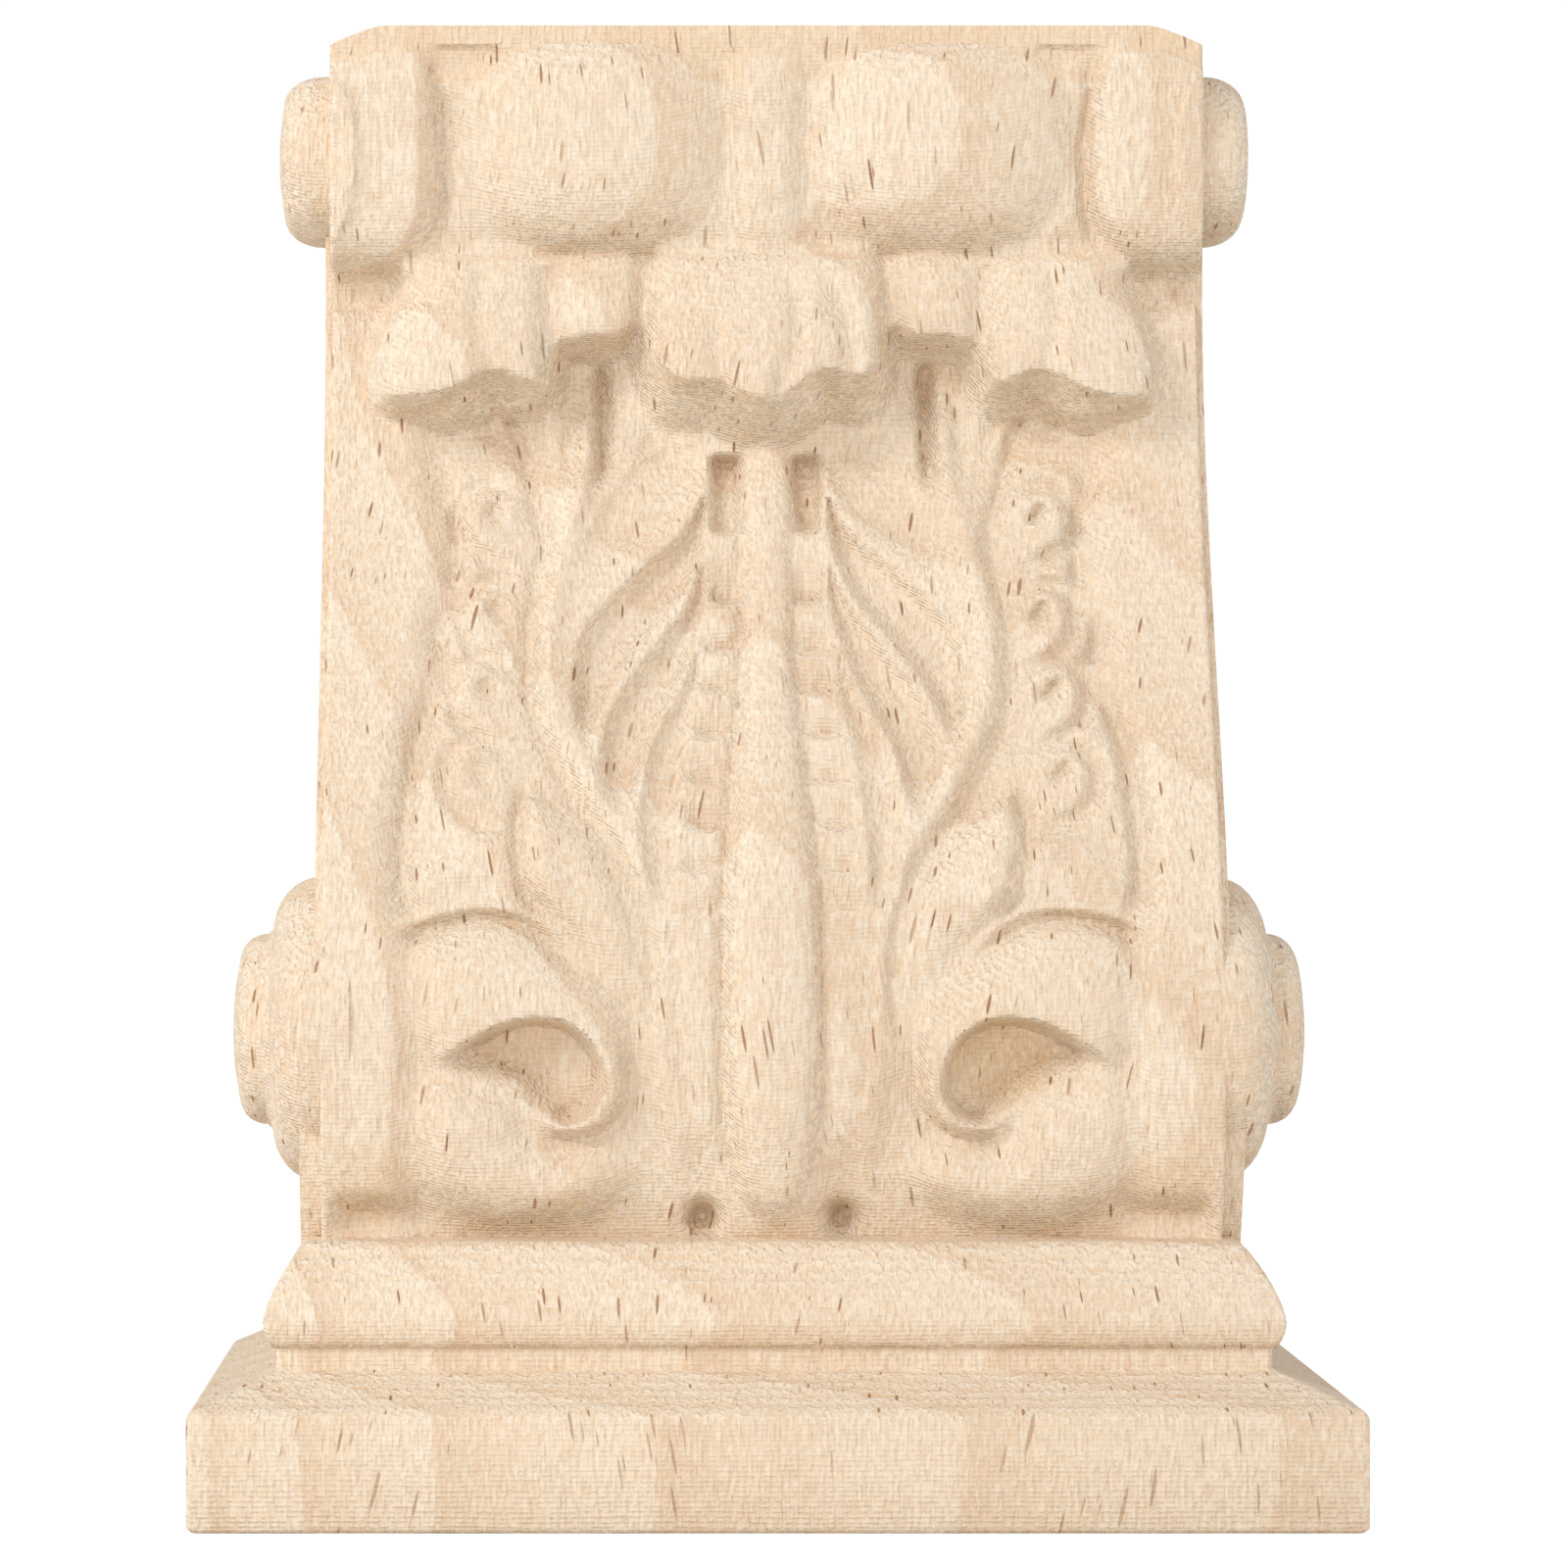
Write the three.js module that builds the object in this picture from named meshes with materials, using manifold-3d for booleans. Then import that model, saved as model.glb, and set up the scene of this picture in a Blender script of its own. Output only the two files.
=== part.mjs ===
// Carved wood corbel, standing on its wide moulded end.
// Millimetres, +Z up. The origin is the centre of the plinth's underside.
// The flat back lies at +Y, the carved face looks towards -Y, and the carving is the same left and right.

import * as THREE from 'three';
import { mergeVertices } from 'three/addons/utils/BufferGeometryUtils.js';
import Module from 'manifold-3d';

// Block and mouldings
const plinthWidth = 120;
const plinthDepth = 60;
const plinthHeight = 12.5;
const plinthOverhang = 13; // beyond the body, at the front and at both sides
const plinthEdgeRadius = 1.2;
const slopeRise = 3.1; // weathering between the plinth and the fillet
const filletHeight = 2.2;
const filletOverhang = 4.4;
const torusHeight = 10.6;
const torusOverhang = 5.7;
const torusNose = 2.6; // height of the torus's widest point above its own foot
const torusUndercut = 0.9; // how far its foot draws back from there
const neckOverhang = 1.4; // where the torus's shoulder meets the body

// Body, depths measured forward from the flat back
const bodyHeight = 129.2;
const bellyProud = 2; // belly forward of the neck that stands on the mouldings
const bellyCurl = 80; // how slowly the belly turns back to the neck
const panelDepth = 26; // where the S ends, in the upright panel
const topCornerDrop = 2.7;
const topCornerRun = 4.5;

// Relief of the carved face
const fieldSink = 2.3; // ground below the border bands
const leafRise = 1.9;
const bladeRise = 1.1;
const outerLeafRise = 1.7;
const ribRise = 3.2;
const curlRise = 3.8;
const hookRise = 2.9;
const hollowDepth = 4.4;
const tipRise = 9.2;
const middleTipRise = 10.6;
const smallTipRise = 6.6;
const pitDepth = 3;

// Roll across the top of the face
const rollRadius = 13.2;
const rollDrop = 13; // its axis below the body's top
const rollSetBack = 7; // its axis behind the upright panel
const endBandRise = 12.8;
const bulbRise = 7.6;
const spineRise = 4;
const rollCoreRise = 7.4;
const topLandProud = 4.6; // flat land along the top edge, forward of the roll's axis

// Side scrolls
const lowerDiscRadius = 16.3;
const lowerDiscStand = 5.7;
const lowerDiscRise = 4.7; // its centre above the belly's most forward point
const lowerDiscProud = 0.2; // its rim forward of the belly
const lowerEyeRadius = 10.2;
const lowerEyeStand = 10.1;
const upperDiscRadius = 9.1;
const upperDiscStand = 5.9;
const upperDiscDrop = 0.4; // its centre below the roll's axis
const upperDiscForward = 1.8; // and forward of it
const discEdgeRadius = 2;
const strapWidth = 7;
const strapStand = 0.8;
const strapSetBack = 1.6;
const tailStand = 2.4;
const tailWidth = 8;

// Fineness of the faceted face
const cellsAcross = 64;
const cellsUp = 88;
const largestCell = 8;
const facetTolerance = 0.46;
const facetsRound = 28;

const bodyHalfWidth = plinthWidth / 2 - plinthOverhang;
const neckDepth = plinthDepth - plinthOverhang;
const slopeTop = plinthHeight + slopeRise;
const torusFoot = slopeTop + filletHeight;
const bodyFoot = torusFoot + torusHeight;
const bodyTop = bodyFoot + bodyHeight;
const backY = plinthDepth / 2;
const bellyDepth = neckDepth + bellyProud;
const rollUp = bodyHeight - rollDrop;
const rollAxisDepth = panelDepth - rollSetBack;

// The carver's template is drawn on a body 47 from the middle to the side and 129.2 high,
// its heights counted from the plinth's underside, and is stretched to the real body.
// On it the S is furthest forward at the belly, and settles into the upright panel.
const template = { half: 47, foot: 28.4, height: 129.2, belly: 45, panel: 129 };
const stretchAcross = bodyHalfWidth / template.half;
const stretchUp = bodyHeight / template.height;
const templateAcross = x => Math.abs(x) / stretchAcross;
const templateUp = z => template.foot + (z - bodyFoot) / stretchUp;

const lowerDiscUp = (template.belly - template.foot) * stretchUp + lowerDiscRise;
const lowerDiscDepth = bellyDepth + lowerDiscProud - lowerDiscRadius;
const upperDiscUp = rollUp - upperDiscDrop;
const upperDiscDepth = rollAxisDepth + upperDiscForward;

const clamp = t => Math.min(1, Math.max(0, t));
const ease = t => clamp(t) ** 2 * (3 - 2 * clamp(t));
const bell = (gap, half) => Math.exp(-((gap / half) ** 2));
const roundOver = t => Math.sqrt(1 - (1 - clamp(t)) ** 2);
const bead = (gap, half) => Math.sqrt(Math.max(0, 1 - (gap / half) ** 2));

// Value read off between named stations [place, value]
function between(place, stations) {
  if (place <= stations[0][0]) return stations[0][1];
  for (let i = 1; i < stations.length; i++) {
    const [a, va] = stations[i - 1];
    const [b, vb] = stations[i];
    if (place <= b) return va + ((vb - va) * (place - a)) / (b - a);
  }
  return stations[stations.length - 1][1];
}

// Smooth line through a few template points, as short straight steps
function drawn(points, closed = false) {
  const curve = new THREE.CatmullRomCurve3(
    points.map(([across, up]) => new THREE.Vector3(across, up, 0)), closed, 'catmullrom', 0.5);
  return curve.getPoints((points.length - (closed ? 0 : 1)) * 5).map(p => [p.x, p.y]);
}

// Gap to a drawn line, the share of the way along it, and the side it lies on
function follow(across, up, line) {
  let best = Infinity;
  let share = 0;
  let side = 1;
  for (let i = 0; i < line.length - 1; i++) {
    const [ax, az] = line[i];
    const dx = line[i + 1][0] - ax;
    const dz = line[i + 1][1] - az;
    const t = clamp(((across - ax) * dx + (up - az) * dz) / (dx * dx + dz * dz + 1e-12));
    const ex = across - ax - t * dx;
    const ez = up - az - t * dz;
    const gap = ex * ex + ez * ez;
    if (gap < best) {
      best = gap;
      share = (i + t) / (line.length - 1);
      side = Math.sign(dx * ez - dz * ex);
    }
  }
  return { gap: Math.sqrt(best), share, side };
}

// Distance inside a drawn outline, negative outside it
function inside(across, up, outline) {
  let within = false;
  for (let i = 0; i < outline.length - 1; i++) {
    const [ax, az] = outline[i];
    const [bx, bz] = outline[i + 1];
    if (az > up !== bz > up && across < ax + ((up - az) * (bx - ax)) / (bz - az)) within = !within;
  }
  const { gap } = follow(across, up, outline);
  return within ? gap : -gap;
}

// Template lines, right half
const border = drawn([[38.2, 128], [37.8, 120], [37.4, 109.5], [35.4, 103], [34.9, 97.4], [36.6, 92.8],
  [36, 88.5], [38, 80], [39.5, 72.2], [38.6, 60.5], [37.6, 44], [36, 31.5]]);
const innerLeafEdge = drawn([[24.2, 111], [23.8, 105], [25.4, 96.1], [26, 90.8], [24.6, 81.9], [20, 74.5]]);
const innerLeaf = drawn([[3, 116], [24.2, 114], [24, 105], [25.6, 96.1], [26.2, 90.8], [24.8, 81.9],
  [20.4, 72.5], [17, 66], [14.5, 58], [13.6, 49], [12.4, 40], [9.5, 33.5], [4, 31], [-6, 31],
  [-6, 116]], true);
const blades = [
  drawn([[8.6, 113], [14.2, 107.2], [17.6, 104.2], [20.4, 100.1], [21.6, 95]]),
  drawn([[5.6, 113], [7, 107.8], [11.7, 101.1], [15.3, 98.1], [19.1, 93.5], [20.8, 88]]),
  drawn([[6.3, 103.5], [7.9, 97.1], [10.6, 93.1], [14.2, 88.5], [18.4, 80.5]]),
  drawn([[7.4, 93], [8, 88.4], [11.9, 80.6], [13.4, 76.6]]),
];
const leafEyes = [[29.3, 105.4], [29.9, 94.2], [30, 86.2], [30.4, 77.1]];
const shoulder = drawn([[22.5, 72], [27, 74.5], [33, 72.5], [38.2, 66], [37.6, 62.5], [31, 63.8], [25, 62.3],
  [20, 58.4], [19.6, 64]], true);
const crossingBlade = drawn([[24.9, 74.6], [19.5, 71.8], [16.6, 68.4], [13.2, 62.5], [12, 57], [13.2, 44]]);
const curlArc = drawn([[20.1, 57.4], [22.8, 60], [25.9, 61.3], [31, 62.6], [35.1, 62], [38.2, 60.5]]);
const curl = drawn([[14.5, 47], [15.2, 53], [19.6, 57], [23.4, 59.6], [30.9, 61.4], [36.6, 59.4],
  [38.6, 55], [37.6, 48.5], [35.2, 46.6], [31, 45.4], [28.4, 43.6], [26.6, 40.2], [22, 37.8], [17, 39.6],
  [14.6, 43]], true);
const curlHollow = drawn([[17.7, 46.4], [18.3, 49.2], [21.2, 51.3], [25.4, 52.1], [30, 51.4], [33.2, 49.6],
  [34.6, 47.2], [30.5, 45.7], [27.2, 45.4], [26, 43.4], [23.7, 41.7], [21.5, 41.2], [19.2, 42.6]], true);
const curlRing = drawn([[14.6, 47.5], [15.2, 42.6], [18.2, 39], [22.2, 38], [26.2, 39.6], [28.2, 43]]);
const hook = drawn([[24.5, 45.2], [28.6, 44.6], [33.4, 43.2], [35.4, 39.8], [34.6, 35], [31.6, 31.5],
  [25.5, 33.2], [18.6, 35], [13.6, 38.4], [17.5, 38.6], [22.6, 38.6]], true);
const ribHalf = [[31, 2.4], [36.3, 4.1], [44, 4.9], [65, 4.8], [70, 4.1], [79.7, 3.2], [86, 2.1],
  [107.6, 1.6], [114, 1.5]]; // half width of the midrib, read off by height
const ribShare = [[31, 0.62], [34, 0.94], [40, 1.06], [55, 0.94], [75, 0.69], [95, 0.38], [115, 0.38]];
const slots = [[106.8, 4.2, 1.5], [98.4, 3.2, 1.4]]; // middle, half height and depth
const slotAcross = 4.2;
const pit = [7.2, 30.4, 1.9]; // across, up and half width
const outerTip = drawn([[23.6, 135], [21.8, 130], [21.9, 123], [22.6, 118], [24.6, 115.6], [27.4, 116.2],
  [29.2, 117.6], [32, 116.2], [37, 114.2], [40.2, 114], [41.6, 117.6], [40.9, 123.4], [39.5, 128.2],
  [37.4, 132], [35.4, 135]], true);
const outerTipVein = drawn([[27.6, 134], [28.8, 128], [30.4, 123], [30.6, 118.5], [30, 115]]);
const smallTip = drawn([[9.5, 135], [9.6, 128], [11.6, 123.6], [16, 121.8], [20.4, 122.8], [23, 126],
  [23.4, 135]], true);
const middleTip = drawn([[-9, 135], [-9, 112], [0, 109], [3.4, 110], [6.4, 111.6], [10.8, 113.6],
  [13.4, 116.4], [14, 121], [13.2, 126], [12, 130], [11, 135]], true);
const tipPockets = [[18.6, 117.6, 2, 4.4, 2], [30.6, 113.6, 2.8, 1.6, 1], [42.6, 129, 3.4, 2.4, 3.2],
  [11.5, 111, 2.6, 1.8, 1]]; // across, up, half width, half height, depth

// The S of the plain border bands, as depth from the back
function bandDepth(z) {
  const up = templateUp(z);
  if (up < template.belly) return bellyDepth - (template.belly - up) ** 2 / bellyCurl;
  const share = (template.panel - up) / (template.panel - template.belly);
  return panelDepth + (bellyDepth - panelDepth) * ease(share);
}

// Leaves and midrib of the sunk field, as height above the band
function fieldRelief(across, up) {
  const { gap, side } = follow(across, up, border);
  const field = ease((side < 0 ? gap : -gap) / 1.6 + 0.35) * ease((133 - up) / 3);
  let rise = -fieldSink * field;
  for (const [ex, ez] of leafEyes) {
    const lobe = Math.exp(-((((across - ex - 1.2) / 5.2) ** 2 + ((up - ez + 0.6) / 4.4) ** 2) ** 1.3));
    rise += field * outerLeafRise * lobe - bell(Math.hypot(across - ex, up - ez), 1.4);
  }
  rise += 2 * ease(inside(across, up, shoulder) / 3) * field;
  rise += leafRise * ease(inside(across, up, innerLeaf) / 1.8 + 0.2);
  for (const blade of blades) {
    const { gap: off, share, side: hand } = follow(across, up, blade);
    const half = 1.75 + 0.5 * Math.sin(Math.PI * share);
    rise += bladeRise * bead(off, half);
    rise -= 0.8 * bell(off - 2.3, 0.9) * (hand < 0 ? 0.2 : 1);
  }
  rise -= 1.3 * bell(follow(across, up, innerLeafEdge).gap, 1);
  rise -= 1.1 * bell(follow(across, up, crossingBlade).gap, 0.9);
  for (const [mid, high, deep] of slots) {
    const out = (Math.abs((across - slotAcross) / 1.6) ** 3 + Math.abs((up - mid) / high) ** 3) ** (1 / 3);
    rise -= deep * ease((1.25 - out) / 0.6);
  }
  const half = between(up, ribHalf);
  const nearFoot = ease((up - 31) / 2.5);
  rise += ribRise * between(up, ribShare) * bead(across, half + 0.4) ** 0.8 * nearFoot;
  rise -= 1.1 * bell(across - half - 0.9, 0.9) * nearFoot * ease((98 - up) / 8);
  return rise;
}

// Big curl near the belly: rolled leaf, hook below it and the crescent hollow
function curlRelief(across, up, rise) {
  let out = rise - 1.5 * bell(follow(across, up, curlArc).gap, 1);
  out += curlRise * roundOver(inside(across, up, curl) / 7);
  out += hookRise * roundOver(inside(across, up, hook) / 5);
  const cut = ease(inside(across, up, curlHollow) / 1.7 + 0.25);
  const floor = 1.2 * ease((across - 24) / 9) - hollowDepth;
  out += cut * (Math.min(out, floor) - out);
  out -= 0.8 * bell(follow(across, up, curlRing).gap, 0.9);
  out -= pitDepth * bell(Math.hypot(across - pit[0], up - pit[1]), pit[2]);
  return out;
}

// One thick leaf tip: it rises down its length and rolls under at its lower lip
function tip(across, up, outline, rise, stations, side, lip, lipUp) {
  const within = inside(across, up, outline);
  const reach = between(up, [[lipUp, lip], [lipUp + 5, side]]);
  return { form: rise * between(up, stations) * roundOver((within + 0.1) / reach), within };
}

// Leaf tips that turn out below the roll, as height above the sunk ground
function tipRelief(across, up) {
  const outer = tip(across, up, outerTip, tipRise,
    [[114, 0.91], [118, 1], [122, 0.93], [127, 0.7], [131, 0.46], [135, 0.22]], 3.2, 4.6, 114.5);
  const vein = follow(across, up, outerTipVein);
  outer.form -= 2 * bell(vein.gap, 1.7) * ease(outer.within / 1.5) * ease(1.3 - vein.share);
  const small = tip(across, up, smallTip, smallTipRise,
    [[121, 0.94], [124, 1], [127, 0.85], [131, 0.58], [135, 0.27]], 2.8, 4, 122.5);
  const middle = tip(across, up, middleTip, middleTipRise,
    [[109, 0.89], [113, 1], [117, 0.98], [122, 0.85], [127, 0.66], [131, 0.45], [135, 0.21]], 3.4, 5, 110.5);
  const petal = Math.hypot(across / 9.4, (up - 125) / 8.8);
  middle.form -= 1.3 * bell(petal - 1.04, 0.14) * ease((127 - up) / 6) * ease(middle.within / 2);
  middle.form += 0.8 * Math.sqrt(Math.max(0, 1 - petal ** 2)) * ease((134 - up) / 4);
  return Math.max(outer.form, small.form, middle.form, 0);
}

// Place round the roll, 0 at its axis, -1 at its lower edge and 1 at its upper one
const rollTurn = z => (z - bodyFoot - rollUp) / rollRadius;

// Roll across the top: end bands, two big bulbs and a narrow one between them
const bandEdgeAt = [[-1.1, 39.5], [-0.88, 37.4], [-0.5, 35.6], [0.1, 35.3], [0.48, 36], [1, 37.8]];
const spineHalfAt = [[-0.8, 3.4], [-0.35, 4], [0.4, 4.6], [1, 5]];
function rollDepth(across, turn) {
  const off = Math.abs(turn);
  const circle = (1 - clamp(off) ** 2.2) ** (1 / 2.2);
  const core = rollAxisDepth + rollCoreRise * circle;
  const end = rollAxisDepth + endBandRise * (1 - clamp(off * 0.97) ** 2.4) ** (1 / 2.4);
  const banded = core + (end - core) * roundOver((across - between(turn, bandEdgeAt)) / 2.6);
  const bulb = Math.max(0, 1 - Math.abs((across - 19.4) / 15.2) ** 2.1 - (off / 1.05) ** 2.6) ** 0.5;
  const spine = core + spineRise * bead(across, between(turn, spineHalfAt)) * circle ** 0.5;
  return Math.max(banded, core - 0.4 + bulbRise * bulb, spine);
}

// Depth of the carved face from the flat back
function faceDepth(x, z) {
  const across = templateAcross(x);
  const up = templateUp(z);
  const edge = bandDepth(z);
  let depth = edge + curlRelief(across, up, fieldRelief(across, up));
  const tips = tipRelief(across, up);
  if (tips > 0) depth = Math.max(depth, edge - fieldSink + tips);
  for (const [px, pz, wide, high, deep] of tipPockets) {
    depth -= deep * Math.exp(-((((across - px) / wide) ** 2 + ((up - pz) / high) ** 2) ** 1.5));
  }
  const turn = rollTurn(z);
  if (turn > -1.07) depth = Math.max(turn < -0.65 ? depth : 0, rollDepth(across, turn));
  if (turn > 0.26) depth = Math.max(depth, rollAxisDepth + topLandProud);
  return depth;
}

// The body's top corners are rounded down
function topAt(x) {
  const run = clamp((Math.abs(x) - bodyHalfWidth + topCornerRun) / topCornerRun);
  return bodyTop - topCornerDrop * run ** 2;
}

// Body: the carved face over a flat back, split finely only where the carving asks for it
function bodyGeometry() {
  const sunk = torusHeight / 2; // how far the body runs down inside the mouldings
  const bottom = bodyFoot - sunk;
  const placeX = i => bodyHalfWidth * ((2 * i) / cellsAcross - 1);
  const placeZ = (i, j) => {
    const z = bottom + ((bodyTop - bottom) * j) / cellsUp;
    const turn = ease((z - bodyFoot - bodyHeight * 0.94) / (bodyHeight * 0.06));
    return z - (bodyTop - topAt(placeX(i))) * turn;
  };
  const cellWide = (2 * bodyHalfWidth) / cellsAcross;
  const reach = cellWide * 0.4; // each point takes the mean depth of its own surroundings
  const around = [[0, 0], [-reach, 0], [reach, 0], [0, -reach], [0, reach]];
  const depths = [];
  for (let j = 0; j <= cellsUp; j++) {
    for (let i = 0; i <= cellsAcross; i++) {
      const x = placeX(i);
      const z = placeZ(i, j);
      const sum = around.reduce((total, [a, b]) => total + faceDepth(x + a, z + b), 0);
      depths.push(z < bodyFoot ? neckDepth - 0.5 : sum / around.length);
    }
  }
  const depthAt = (i, j) => depths[j * (cellsAcross + 1) + i];
  const strays = (i, j, size) => {
    let most = 0;
    let low = Infinity;
    let high = -Infinity;
    for (let b = 0; b <= size; b++) {
      for (let a = 0; a <= size; a++) {
        const s = a / size;
        const t = b / size;
        const here = depthAt(i + a, j + b);
        const flat = (depthAt(i, j) * (1 - s) + depthAt(i + size, j) * s) * (1 - t)
          + (depthAt(i, j + size) * (1 - s) + depthAt(i + size, j + size) * s) * t;
        most = Math.max(most, Math.abs(flat - here));
        low = Math.min(low, here);
        high = Math.max(high, here);
      }
    }
    const lean = Math.hypot(1, (high - low) / (size * cellWide));
    return most / lean > facetTolerance;
  };
  const cells = [];
  const split = (i, j, size) => {
    if (size > 1 && strays(i, j, size)) {
      const half = size / 2;
      for (const [a, b] of [[0, 0], [half, 0], [0, half], [half, half]]) split(i + a, j + b, half);
    } else cells.push([i, j, size]);
  };
  for (let j = 0; j < cellsUp; j += largestCell) {
    for (let i = 0; i < cellsAcross; i += largestCell) split(i, j, largestCell);
  }
  const corners = new Set();
  const key = (i, j) => j * (cellsAcross + 1) + i;
  for (const [i, j, size] of cells) {
    for (const [a, b] of [[0, 0], [1, 0], [1, 1], [0, 1]]) corners.add(key(i + a * size, j + b * size));
  }
  const positions = [];
  const point = (i, j) => [placeX(i), backY - depthAt(i, j), placeZ(i, j)];
  const triangle = (...vertices) => vertices.forEach(v => positions.push(...v));
  const walk = (i, j, size) => {
    const ring = [];
    for (let k = 0; k < size; k++) ring.push([i + k, j]);
    for (let k = 0; k < size; k++) ring.push([i + size, j + k]);
    for (let k = 0; k < size; k++) ring.push([i + size - k, j + size]);
    for (let k = 0; k < size; k++) ring.push([i, j + size - k]);
    return ring.filter(([a, b]) => corners.has(key(a, b)));
  };
  for (const [i, j, size] of cells) {
    const ring = walk(i, j, size);
    if (ring.length === 4) {
      const [a, b, c, d] = ring.map(([p, q]) => point(p, q));
      if (Math.abs(b[1] - d[1]) < Math.abs(a[1] - c[1])) {
        triangle(a, b, d);
        triangle(b, c, d);
      } else {
        triangle(a, b, c);
        triangle(a, c, d);
      }
    } else {
      const middle = size > 1
        ? point(i + size / 2, j + size / 2)
        : ring.map(([p, q]) => point(p, q))
          .reduce((sum, p) => sum.map((v, n) => v + p[n] / ring.length), [0, 0, 0]);
      ring.forEach(([p, q], n) => triangle(middle, point(p, q), point(...ring[(n + 1) % ring.length])));
    }
  }
  const rim = [];
  for (let i = 0; i < cellsAcross; i++) rim.push([i, 0]);
  for (let j = 0; j < cellsUp; j++) rim.push([cellsAcross, j]);
  for (let i = cellsAcross; i > 0; i--) rim.push([i, cellsUp]);
  for (let j = cellsUp; j > 0; j--) rim.push([0, j]);
  const used = rim.filter(([a, b]) => corners.has(key(a, b)));
  const onBack = p => [p[0], backY, p[2]];
  const backMiddle = [0, backY, (bottom + bodyTop) / 2];
  used.forEach(([p, q], n) => {
    const a = point(p, q);
    const b = point(...used[(n + 1) % used.length]);
    triangle(b, a, onBack(a));
    triangle(b, onBack(a), onBack(b));
    triangle(onBack(b), onBack(a), backMiddle);
  });
  const geometry = new THREE.BufferGeometry();
  geometry.setAttribute('position', new THREE.Float32BufferAttribute(positions, 3));
  return geometry;
}

// Mouldings: one profile of overhang against height, mitred round the front and both sides
function mouldingGeometry() {
  const profile = [[plinthOverhang, 0], [plinthOverhang, plinthHeight - plinthEdgeRadius]];
  const edgeSteps = 3;
  for (let k = 1; k <= edgeSteps; k++) {
    const turn = (k / edgeSteps) * Math.PI * 0.4;
    profile.push([plinthOverhang - plinthEdgeRadius * (1 - Math.cos(turn)),
      plinthHeight - plinthEdgeRadius * (1 - Math.sin(turn))]);
  }
  profile.push([filletOverhang, slopeTop], [filletOverhang, torusFoot]);
  const torusSteps = 9;
  for (let k = 0; k <= torusSteps; k++) {
    const up = (k / torusSteps) * torusHeight;
    const under = 1 - clamp(up / torusNose);
    const over = clamp((up - torusNose) / (torusHeight - torusNose));
    const shoulder = 1 - (1 - over ** 1.5) ** 0.9;
    profile.push([torusOverhang - torusUndercut * under ** 2 - (torusOverhang - neckOverhang) * shoulder,
      torusFoot + up]);
  }
  profile.push([0, bodyFoot]);
  const positions = [];
  const triangle = (...vertices) => vertices.forEach(v => positions.push(...v));
  const ring = ([overhang, z]) => {
    const half = bodyHalfWidth + overhang;
    const front = backY - neckDepth - overhang;
    return [[-half, front, z], [half, front, z], [half, backY, z], [-half, backY, z]];
  };
  for (let k = 0; k < profile.length - 1; k++) {
    const low = ring(profile[k]);
    const high = ring(profile[k + 1]);
    for (let n = 0; n < 4; n++) {
      const m = (n + 1) % 4;
      triangle(low[n], low[m], high[m]);
      triangle(low[n], high[m], high[n]);
    }
  }
  const foot = ring(profile[0]);
  triangle(foot[0], foot[3], foot[2]);
  triangle(foot[0], foot[2], foot[1]);
  const head = ring(profile[profile.length - 1]);
  triangle(head[0], head[1], head[2]);
  triangle(head[0], head[2], head[3]);
  const geometry = new THREE.BufferGeometry();
  geometry.setAttribute('position', new THREE.Float32BufferAttribute(positions, 3));
  return geometry;
}

// Turned boss with rounded shoulders, standing out of a side; steps are [radius, stand] from the outside in
function discGeometry(steps, depth, up, hand) {
  const root = 3; // how far it runs in under the side
  const outline = [new THREE.Vector2(0, -root), new THREE.Vector2(steps[0][0], -root)];
  for (const [radius, stand] of steps) {
    for (let k = 0; k <= 3; k++) {
      const turn = (k / 3) * (Math.PI / 2);
      outline.push(new THREE.Vector2(radius - discEdgeRadius * (1 - Math.cos(turn)),
        stand - discEdgeRadius * (1 - Math.sin(turn))));
    }
  }
  outline.push(new THREE.Vector2(0, steps[steps.length - 1][1]));
  const geometry = new THREE.LatheGeometry(outline, facetsRound);
  geometry.rotateZ(-hand * Math.PI / 2);
  geometry.translate(hand * bodyHalfWidth, backY - depth, bodyFoot + up);
  return geometry;
}

// Flat strap on a side that follows the front's S between two heights
function strapGeometry(low, high, width, setBack, stand, hand) {
  const steps = 14;
  const root = 2;
  const line = [];
  for (let k = 0; k <= steps; k++) {
    const up = low + ((high - low) * k) / steps;
    line.push([backY - bandDepth(bodyFoot + up) + setBack, bodyFoot + up]);
  }
  const shape = new THREE.Shape([...line.map(([y, z]) => new THREE.Vector2(y, z)),
    ...line.reverse().map(([y, z]) => new THREE.Vector2(y + width, z))]);
  const geometry = new THREE.ExtrudeGeometry(shape, { depth: stand + root, bevelEnabled: false });
  geometry.applyMatrix4(new THREE.Matrix4().makeBasis(
    new THREE.Vector3(0, 1, 0), new THREE.Vector3(0, 0, 1), new THREE.Vector3(1, 0, 0)));
  geometry.translate(hand > 0 ? bodyHalfWidth - root : -bodyHalfWidth - stand, 0, 0);
  return geometry;
}

const wasm = await Module();
wasm.setup();

function solidOf(geometry) {
  geometry.deleteAttribute('normal');
  geometry.deleteAttribute('uv');
  const merged = mergeVertices(geometry, 1e-4);
  return new wasm.Manifold(new wasm.Mesh({
    numProp: 3,
    vertProperties: Float32Array.from(merged.attributes.position.array),
    triVerts: Uint32Array.from(merged.index.array),
  }));
}

function geometryOf(solid) {
  const mesh = solid.getMesh();
  const geometry = new THREE.BufferGeometry();
  geometry.setAttribute('position', new THREE.Float32BufferAttribute(mesh.vertProperties, 3));
  geometry.setIndex(new THREE.Uint32BufferAttribute(mesh.triVerts, 1));
  geometry.computeVertexNormals();
  return geometry;
}

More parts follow.
